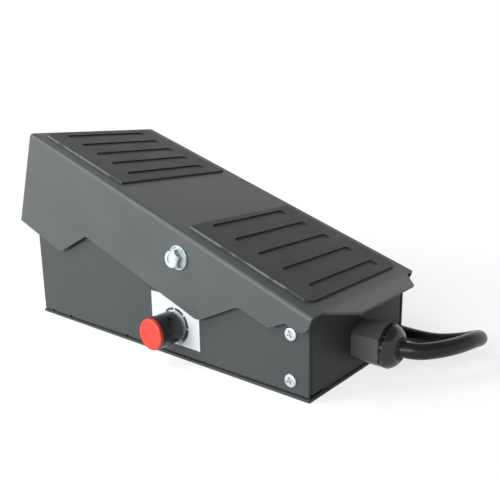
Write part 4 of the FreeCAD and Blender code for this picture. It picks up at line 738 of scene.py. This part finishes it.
class PEDAL_OT_coil_strap(Operator):
    """Hook-and-loop strap pulled round the coil's turns, its end lapped over itself"""
    bl_idname = "pedal.coil_strap"
    bl_label = "Strap the Coil"

    samples = 220
    edge_points = 6
    lap = 0.020

    def execute(self, context):
        settings = context.scene.pedal_cable
        cable = PEDAL_OT_power_cable
        turns = np.arange(math.ceil(settings.coil_turns - 0.75)) + 0.75
        radius, height = cable.layers(settings, turns)
        centres = np.stack([cable.coil_middle[0] + radius, height], axis=-1)
        thickness = settings.strap_thickness
        room = settings.sheath_diameter / 2.0 + 0.00025 + thickness / 2.0
        loop, normal, length = hull_loop(centres, room, self.samples)
        over = int(self.samples * self.lap / length)
        start = int(self.samples * 0.10)
        order = (np.arange(self.samples + over) + start) % self.samples
        travel = np.arange(self.samples + over) * length / self.samples
        ramp = smoothstep(travel, length - 0.006, length + 0.002)
        middle = loop[order] + normal[order] * (ramp * (thickness + 0.0002))[:, None]
        self.build(settings, middle, normal[order], travel)
        return {"FINISHED"}

    def build(self, settings, middle, normal, travel):
        """A flat bar carried along the loop: its section is a rectangle with round edges, its free end a
        half circle, so half width = sqrt(half^2 - (half - distance to the end)^2) within half a width."""
        half = settings.strap_width / 2.0
        thickness = settings.strap_thickness
        to_end = travel[-1] - travel
        from_round = np.clip(half - to_end, 0.0, half)
        end_width = np.sqrt(np.clip(half ** 2 - from_round ** 2, (0.04 * half) ** 2, None))
        turn = np.linspace(0.0, np.pi, self.edge_points)
        side = np.stack([np.sin(turn) * thickness / 2.0, np.cos(turn) * thickness / 2.0], axis=-1)
        flat = np.linspace(1.0, -1.0, 9)[1:-1]
        width_share = np.concatenate([np.ones(self.edge_points), flat, -np.ones(self.edge_points), -flat])
        bulge = np.concatenate([side[:, 0], np.zeros(len(flat)), -side[:, 0], np.zeros(len(flat))])
        lift = np.concatenate([side[:, 1], -np.full(len(flat), thickness / 2.0), -side[:, 1],
                               np.full(len(flat), thickness / 2.0)])
        across = (end_width[:, None] - thickness / 2.0).clip(0.0) * width_share[None, :] + bulge[None, :]
        x = middle[:, :1] + normal[:, :1] * lift
        z = middle[:, 1:] + normal[:, 1:] * lift
        y = PEDAL_OT_power_cable.coil_middle[1] + across
        points = np.stack([x, y, z], axis=-1)
        uv_width = np.concatenate([across, across[:, :1]], axis=1)
        uv = np.stack([np.repeat(travel[:, None], uv_width.shape[1], axis=1), uv_width], axis=-1)
        strap = grid_piece("coil_strap", points, "base", uv)
        strap.data.materials.append(self.weave().material)
        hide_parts("coil_tie")

    def weave(self):
        """Fuzzy loops on a woven ground: crossed waves along and across the strap under a fine noise."""
        colour = (0.022, 0.022, 0.024)
        finish = Finish("strap_weave", colour, Roughness=0.85, Sheen_Weight=0.4, Sheen_Roughness=0.5)
        where = finish.uv("length_width")
        along = finish.node("TexWave", {"Vector": where, "Scale": 260.0, "Distortion": 1.2, "Detail": 2.0,
                                        "Detail Scale": 2.0}, bands_direction="X").outputs["Fac"]
        across = finish.node("TexWave", {"Vector": where, "Scale": 260.0, "Distortion": 1.2, "Detail": 2.0,
                                         "Detail Scale": 2.0}, bands_direction="Y").outputs["Fac"]
        weave = finish.math("MULTIPLY", along, across)
        fuzz = finish.noise(where, 0.0007, 4.0, 0.7)
        finish.feed("Base Color", finish.colours(fuzz, shaded(colour, 0.6), shaded(colour, 2.0)))
        finish.relief([(weave, 0.00025), (fuzz, 0.00022)])
        return finish


class PEDAL_OT_plug(Operator):
    """Chromed round plug with a diamond-knurled coupling ring and five gilded pins"""
    bl_idname = "pedal.plug"
    bl_label = "Finish the Plug"

    def execute(self, context):
        settings = context.scene.pedal_plug
        colour = tuple(settings.chrome_colour)
        chrome = Finish("bright_plate", colour, Metallic=1.0, Roughness=0.16)
        where = chrome.place()
        haze = chrome.noise(where, 0.006, 4.0)
        turned = chrome.noise(chrome.place(stretch=(18.0, 1.0, 1.0)), 0.0030, 2.0)
        chrome.mottle(haze, shaded(colour, 0.86), shaded(colour, 1.10), (0.10, 0.24))
        chrome.relief([(turned, 0.000010)])
        dress(chrome.material, "plug_shell", "plug_barrel")
        depth = settings.knurl_depth
        low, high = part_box("plug_ring")
        axis = (low + high) / 2.0
        outer = (high.z - low.z) / 2.0
        bore = 0.00705
        mouth = 0.0081
        seat = low.x + 0.0030
        knurl_start = low.x + 0.0014
        knurl_end = high.x - 0.0014
        edge = 0.0006
        break_in = 0.0002
        ring = [(low.x + edge, outer), (knurl_start, outer), (knurl_end, outer), (high.x - edge, outer),
                (high.x - break_in, outer - break_in), (high.x, outer - edge), (high.x, mouth),
                (seat, mouth), (seat, bore), (low.x, bore), (low.x, outer - edge),
                (low.x + break_in, outer - break_in)]
        knurl = (knurl_start, knurl_end, settings.ring_knurls, depth, True)
        sleeve = knurled_sleeve("coupling_ring_knurled", "plug_ring", axis, ring, knurl, settings,
                                "coupling_ring")
        sleeve.data.materials.append(chrome.material)
        low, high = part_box("plug_clamp")
        axis = (low + high) / 2.0
        outer = (high.z - low.z) / 2.0
        cable_hole = 0.0046
        neck_hole = 0.00565
        shoulder = low.x + 0.0055
        knurl_start = low.x + 0.0022
        knurl_end = high.x - 0.0010
        slope = 0.0015
        clamp = [(low.x + slope, outer), (knurl_start, outer), (knurl_end, outer),
                 (high.x - 0.0003, outer), (high.x, outer - 0.0004), (high.x, neck_hole),
                 (shoulder, neck_hole), (shoulder, cable_hole), (low.x, cable_hole),
                 (low.x, outer - slope), (low.x + 0.0005, outer - 0.0004)]
        knurl = (knurl_start, knurl_end, settings.clamp_knurls, depth * 0.8, False)
        sleeve = knurled_sleeve("cable_clamp_knurled", "plug_clamp", axis, clamp, knurl, settings, "base")
        sleeve.data.materials.append(chrome.material)
        gold = Finish("gilded_pins", (0.85, 0.62, 0.27), Metallic=1.0, Roughness=0.22)
        spots = gold.noise(gold.place(), 0.0012, 3.0)
        gold.mottle(spots, (0.72, 0.50, 0.20), (0.90, 0.68, 0.32), (0.16, 0.30))
        dress(gold.material, "plug_pins")
        return {"FINISHED"}


class PEDAL_OT_studio(Operator):
    """Pale floor, soft lamps, white surroundings and the photograph's camera"""
    bl_idname = "pedal.studio"
    bl_label = "Set up the Studio"

    azimuth = 39.866
    elevation = 12.852
    roll = -0.803
    camera_place = (0.27423, -0.28091, 0.14235)
    lamps = (("key", (-0.56, -0.72, 0.98), (0.62, 0.52)), ("low", (-0.42, -1.24, 0.28), (1.00, 0.44)),
             ("front", (0.22, -1.05, 0.50), (0.36, 0.26)), ("back", (-0.72, 0.62, 0.95), (0.90, 0.90)))
    lamp_target = (0.0, 0.0, 0.04)

    def execute(self, context):
        settings = context.scene.pedal_studio
        scene = context.scene
        scene.view_settings.view_transform = "Standard"
        self.surroundings(scene, settings)
        self.floor(scene, settings)
        for name, place, size in self.lamps:
            self.lamp(scene, name + "_lamp", place, size, getattr(settings, name + "_power"))
        self.camera(scene, settings)
        return {"FINISHED"}

    def surroundings(self, scene, settings):
        """An even dim grey for lighting. What is seen of it, past the floor, in a reflection or through
        glass, is white up to some 25 degrees over the horizon, and fades to a pale grey above."""
        world = bpy.data.worlds.new("studio_surroundings")
        world.use_nodes = True
        scene.world = world
        world.node_tree.nodes.clear()
        sky = Shading(world.node_tree)
        split = sky.node("SeparateXYZ", {"Vector": sky.node("TexCoord").outputs["Generated"]})
        pale = sky.between(split.outputs["Z"], 0.42, 0.66, 1.0, 0.28, True)
        light = sky.node("Background", {"Color": (1.0, 1.0, 1.0, 1.0), "Strength": settings.fill_level})
        backdrop = sky.node("Background", {"Color": (1.0, 1.0, 1.0, 1.0), "Strength": pale})
        both = sky.node("MixShader", {0: sky.seen(), 1: light.outputs[0], 2: backdrop.outputs[0]})
        sky.node("OutputWorld", {"Surface": both.outputs[0]})

    def floor(self, scene, settings):
        """A pale sheet that takes the shadow near the pedal and is seen plain white farther off."""
        half = settings.floor_size / 2.0
        mesh = bpy.data.meshes.new("studio_floor")
        corners = [(-half, -half), (half, -half), (half, half), (-half, half)]
        mesh.from_pydata([(x, y, -0.0002) for x, y in corners], [], [(0, 1, 2, 3)])
        sheet = bpy.data.objects.new("studio_floor", mesh)
        scene.collection.objects.link(sheet)
        finish = Finish("studio_floor", tuple(settings.floor_colour), Roughness=0.9, Specular_IOR_Level=0.0)
        far = finish.node("VectorMath", {0: finish.place()}, operation="LENGTH").outputs["Value"]
        seen = finish.seen()
        lift = finish.node("Emission", {"Strength": finish.math("MULTIPLY", seen, settings.floor_lift)})
        near = finish.node("AddShader", {0: finish.surface.outputs[0], 1: lift.outputs[0]})
        white = finish.node("Emission", {"Strength": 1.0})
        share = finish.math("MULTIPLY", seen, finish.between(far, 0.17, 0.38, 0.0, 1.0, True))
        whole = finish.node("MixShader", {0: share, 1: near.outputs[0], 2: white.outputs[0]})
        output = finish.tree.nodes["Material Output"]
        finish.tree.links.new(whole.outputs[0], output.inputs["Surface"])
        mesh.materials.append(finish.material)

    def lamp(self, scene, name, place, size, power):
        """A soft rectangular lamp, its width and height in metres, turned to face the pedal."""
        data = bpy.data.lights.new(name, "AREA")
        data.shape = "RECTANGLE"
        data.size, data.size_y = size
        data.energy = power
        lamp = bpy.data.objects.new(name, data)
        scene.collection.objects.link(lamp)
        lamp.location = place
        lamp.rotation_euler = (Vector(self.lamp_target) - Vector(place)).to_track_quat("-Z", "Y").to_euler()

    def camera(self, scene, settings):
        """The photograph's camera: turned by azimuth and elevation, then rolled about its line of sight."""
        azimuth = math.radians(self.azimuth)
        elevation = math.radians(self.elevation)
        roll = math.radians(self.roll)
        right = Vector((math.cos(azimuth), math.sin(azimuth), 0.0))
        back = Vector((math.sin(azimuth) * math.cos(elevation), -math.cos(azimuth) * math.cos(elevation),
                       math.sin(elevation)))
        up = back.cross(right)
        right_rolled = right * math.cos(roll) + up * math.sin(roll)
        up_rolled = up * math.cos(roll) - right * math.sin(roll)
        data = bpy.data.cameras.new("photo_camera")
        data.sensor_width = 36.0
        data.lens = settings.lens
        data.clip_start = 0.01
        camera = bpy.data.objects.new("photo_camera", data)
        scene.collection.objects.link(camera)
        turn = Matrix((right_rolled, up_rolled, back)).transposed().to_4x4()
        camera.matrix_world = Matrix.Translation(self.camera_place) @ turn
        scene.camera = camera


OPERATORS = (
    PEDAL_OT_coated_steel,
    PEDAL_OT_rubber_treads,
    PEDAL_OT_fasteners,
    PEDAL_OT_dial,
    PEDAL_OT_drive,
    PEDAL_OT_return_spring,
    PEDAL_OT_gland,
    PEDAL_OT_power_cable,
    PEDAL_OT_coil_strap,
    PEDAL_OT_plug,
    PEDAL_OT_studio,
)
SETTINGS = {
    "pedal_coat": CoatSettings,
    "pedal_tread": TreadSettings,
    "pedal_dial": DialSettings,
    "pedal_cable": CableSettings,
    "pedal_plug": PlugSettings,
    "pedal_studio": StudioSettings,
}


class PEDAL_PT_workshop(Panel):
    """Sidebar panel with every setting and every step"""
    bl_idname = "PEDAL_PT_workshop"
    bl_label = "Foot Pedal"
    bl_space_type = "VIEW_3D"
    bl_region_type = "UI"
    bl_category = "Pedal"

    def draw(self, context):
        for name, group in SETTINGS.items():
            box = self.layout.box()
            for setting in group.__annotations__:
                box.prop(getattr(context.scene, name), setting)
        for operator in OPERATORS:
            self.layout.operator(operator.bl_idname)


def register():
    for group in SETTINGS.values():
        bpy.utils.register_class(group)
    for operator in OPERATORS:
        bpy.utils.register_class(operator)
    bpy.utils.register_class(PEDAL_PT_workshop)
    for name, group in SETTINGS.items():
        setattr(bpy.types.Scene, name, PointerProperty(type=group))


def unregister():
    for name in SETTINGS:
        delattr(bpy.types.Scene, name)
    bpy.utils.unregister_class(PEDAL_PT_workshop)
    for operator in reversed(OPERATORS):
        bpy.utils.unregister_class(operator)
    for group in reversed(list(SETTINGS.values())):
        bpy.utils.unregister_class(group)


def main():
    register()
    for operator in OPERATORS:
        family, name = operator.bl_idname.split(".")
        getattr(getattr(bpy.ops, family), name)()


if __name__ == "__main__":
    main()
